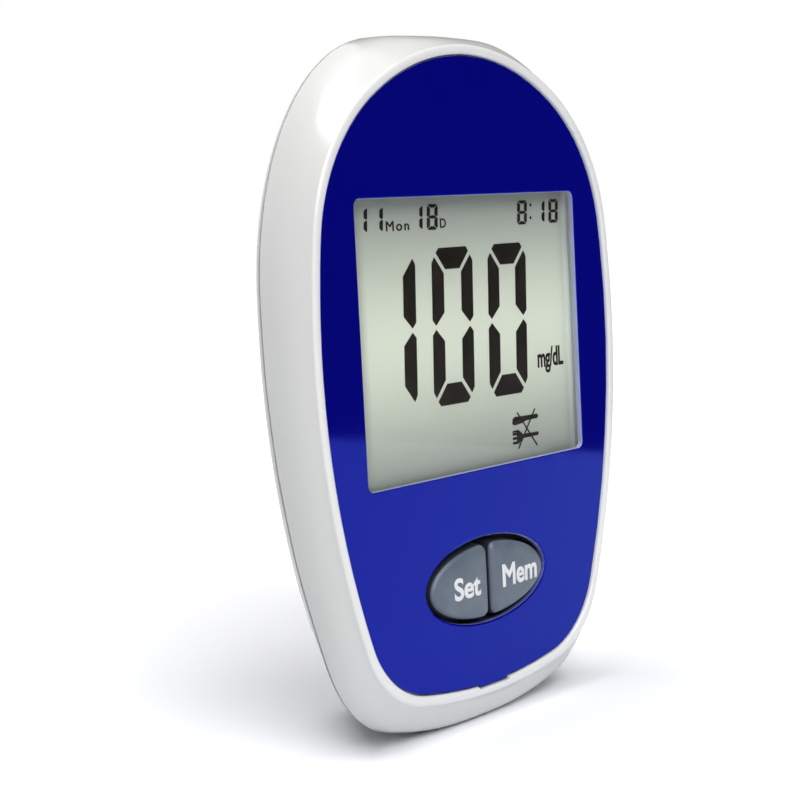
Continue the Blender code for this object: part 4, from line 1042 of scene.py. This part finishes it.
for side in ("left", "right"):
    words, box = keyWords[side]
    piece = flatWords(side + "_key_word", words, box, keyWords["front"], keyWords["weight"])
    cutFinely(box, keyWords)
    press = piece.modifiers.new("press", "SHRINKWRAP")
    press.wrap_method = "PROJECT"
    press.use_project_y = True
    press.use_positive_direction = True
    press.use_negative_direction = False
    press.target = bpy.data.objects[side + "_keycap"]
    press.offset = keyWords["thickness"]
    bpy.ops.object.modifier_apply(modifier="press")
    thicken(piece, keyWords["thickness"])
    settle(piece, ink, side + "_key")
print("key lettering in place")


studio = {
    "floorSize": 6.0,
    "floorColour": (0.8, 0.815, 0.85),
    "floorSeen": (1.15, 1.165, 1.215),
    "floorMottle": 6.0,
    "mottleShade": 0.99,
    "skyColour": (0.95, 0.98, 1.05),
    "skyLevel": 0.02,
    "lamps": {
        "cameraSide": {"azimuth": -120.0, "height": 36.0, "spread": 34.0, "level": 0.41},
        "overhead": {"azimuth": 160.0, "height": 77.0, "spread": 34.0, "level": 0.42},
        "frontHigh": {"azimuth": -92.0, "height": 64.0, "spread": 34.0, "level": 0.3},
        "behind": {"azimuth": 80.0, "height": 70.0, "spread": 34.0, "level": 0.04},
    },
    "lampColour": (1.0, 0.99, 0.975),
    "cardPlace": (0.227, -0.2, 0.3),
    "cardSize": (0.6, 0.9, 1.0),
    "cardColour": (0.002, 0.002, 0.003),
}


def seenWhite(tree):
    # 1 for rays from the camera and for those that gloss or glass sends on, so that all show one background.
    rays = [addNode(tree, "ShaderNodeLightPath", None, None, output) for output in (0, 3, 6)]
    return addNode(tree, "ShaderNodeMath", {"operation": "MINIMUM"}, {0: rays[0] + rays[1] + rays[2], 1: 1.0})


def makeFloor(name, look):
    f = Finish(name)
    darker = tuple(c * look["mottleShade"] for c in look["floorColour"])
    paper = f.mix(f.noise(look["floorMottle"], 2.0), look["floorColour"], darker)
    colour = f.mix(seenWhite(f.tree), paper, look["floorSeen"])
    return f.done(f.add("ShaderNodeBsdfDiffuse", None, {"Color": colour}))


def makeCard(name, look):
    f = Finish(name)
    return f.done(f.add("ShaderNodeBsdfDiffuse", None, {"Color": opaque(look["cardColour"])}))


bpy.ops.mesh.primitive_plane_add(size=studio["floorSize"], location=(0.0, 0.0, 0.0))
floor = bpy.context.object
floor.name = "studio_floor"
floor.data.materials.append(makeFloor("studioFloor", studio))

# A dark card to the right, which shows only where something glossy mirrors it.
bpy.ops.mesh.primitive_plane_add(size=1.0, location=studio["cardPlace"], rotation=(0.0, pi / 2, 0.0))
card = bpy.context.object
card.name = "studio_flag"
card.scale = studio["cardSize"]
bpy.ops.object.transform_apply(location=True, rotation=True, scale=True)
card.data.materials.append(makeCard("studioFlag", studio))
card.visible_camera = False
card.visible_diffuse = False
card.visible_shadow = False
card.visible_transmission = False

world = bpy.data.worlds.new("studioLight")
bpy.context.scene.world = world
world.use_nodes = True
world.node_tree.nodes.clear()
sky = addNode(world.node_tree, "ShaderNodeBackground", None,
              {"Color": opaque(studio["skyColour"]), "Strength": studio["skyLevel"]})
paperWhite = addNode(world.node_tree, "ShaderNodeBackground", None,
                     {"Color": (1.0, 1.0, 1.0, 1.0), "Strength": 1.0})
both = addNode(world.node_tree, "ShaderNodeMixShader", None,
               {0: seenWhite(world.node_tree), 1: sky, 2: paperWhite})
addNode(world.node_tree, "ShaderNodeOutputWorld", None, {0: both})

for name, look in studio["lamps"].items():
    lamp = bpy.data.lights.new(name, "SUN")
    lamp.angle = radians(look["spread"])
    lamp.energy = look["level"] * pi
    lamp.color = studio["lampColour"]
    light = bpy.data.objects.new(name, lamp)
    azimuth, height = radians(look["azimuth"]), radians(look["height"])
    light.location = (cos(azimuth) * cos(height), sin(azimuth) * cos(height), sin(height))
    light.rotation_euler = (-light.location).to_track_quat("-Z", "Y").to_euler()
    bpy.context.scene.collection.objects.link(light)

viewer = {
    "place": (-0.1846, -0.155125, 0.0650),
    "turn": (84.449, 2.930, -49.738),
    "lens": 83.25,
    "sensor": 36.0,
    "nearest": 0.01,
}
camera = bpy.data.cameras.new("photoCamera")
camera.lens = viewer["lens"]
camera.sensor_width = viewer["sensor"]
camera.clip_start = viewer["nearest"]
cameraObject = bpy.data.objects.new("photoCamera", camera)
cameraObject.location = viewer["place"]
cameraObject.rotation_euler = [radians(angle) for angle in viewer["turn"]]
bpy.context.scene.collection.objects.link(cameraObject)
bpy.context.scene.camera = cameraObject
bpy.context.scene.view_settings.view_transform = "Standard"
print("studio ready")
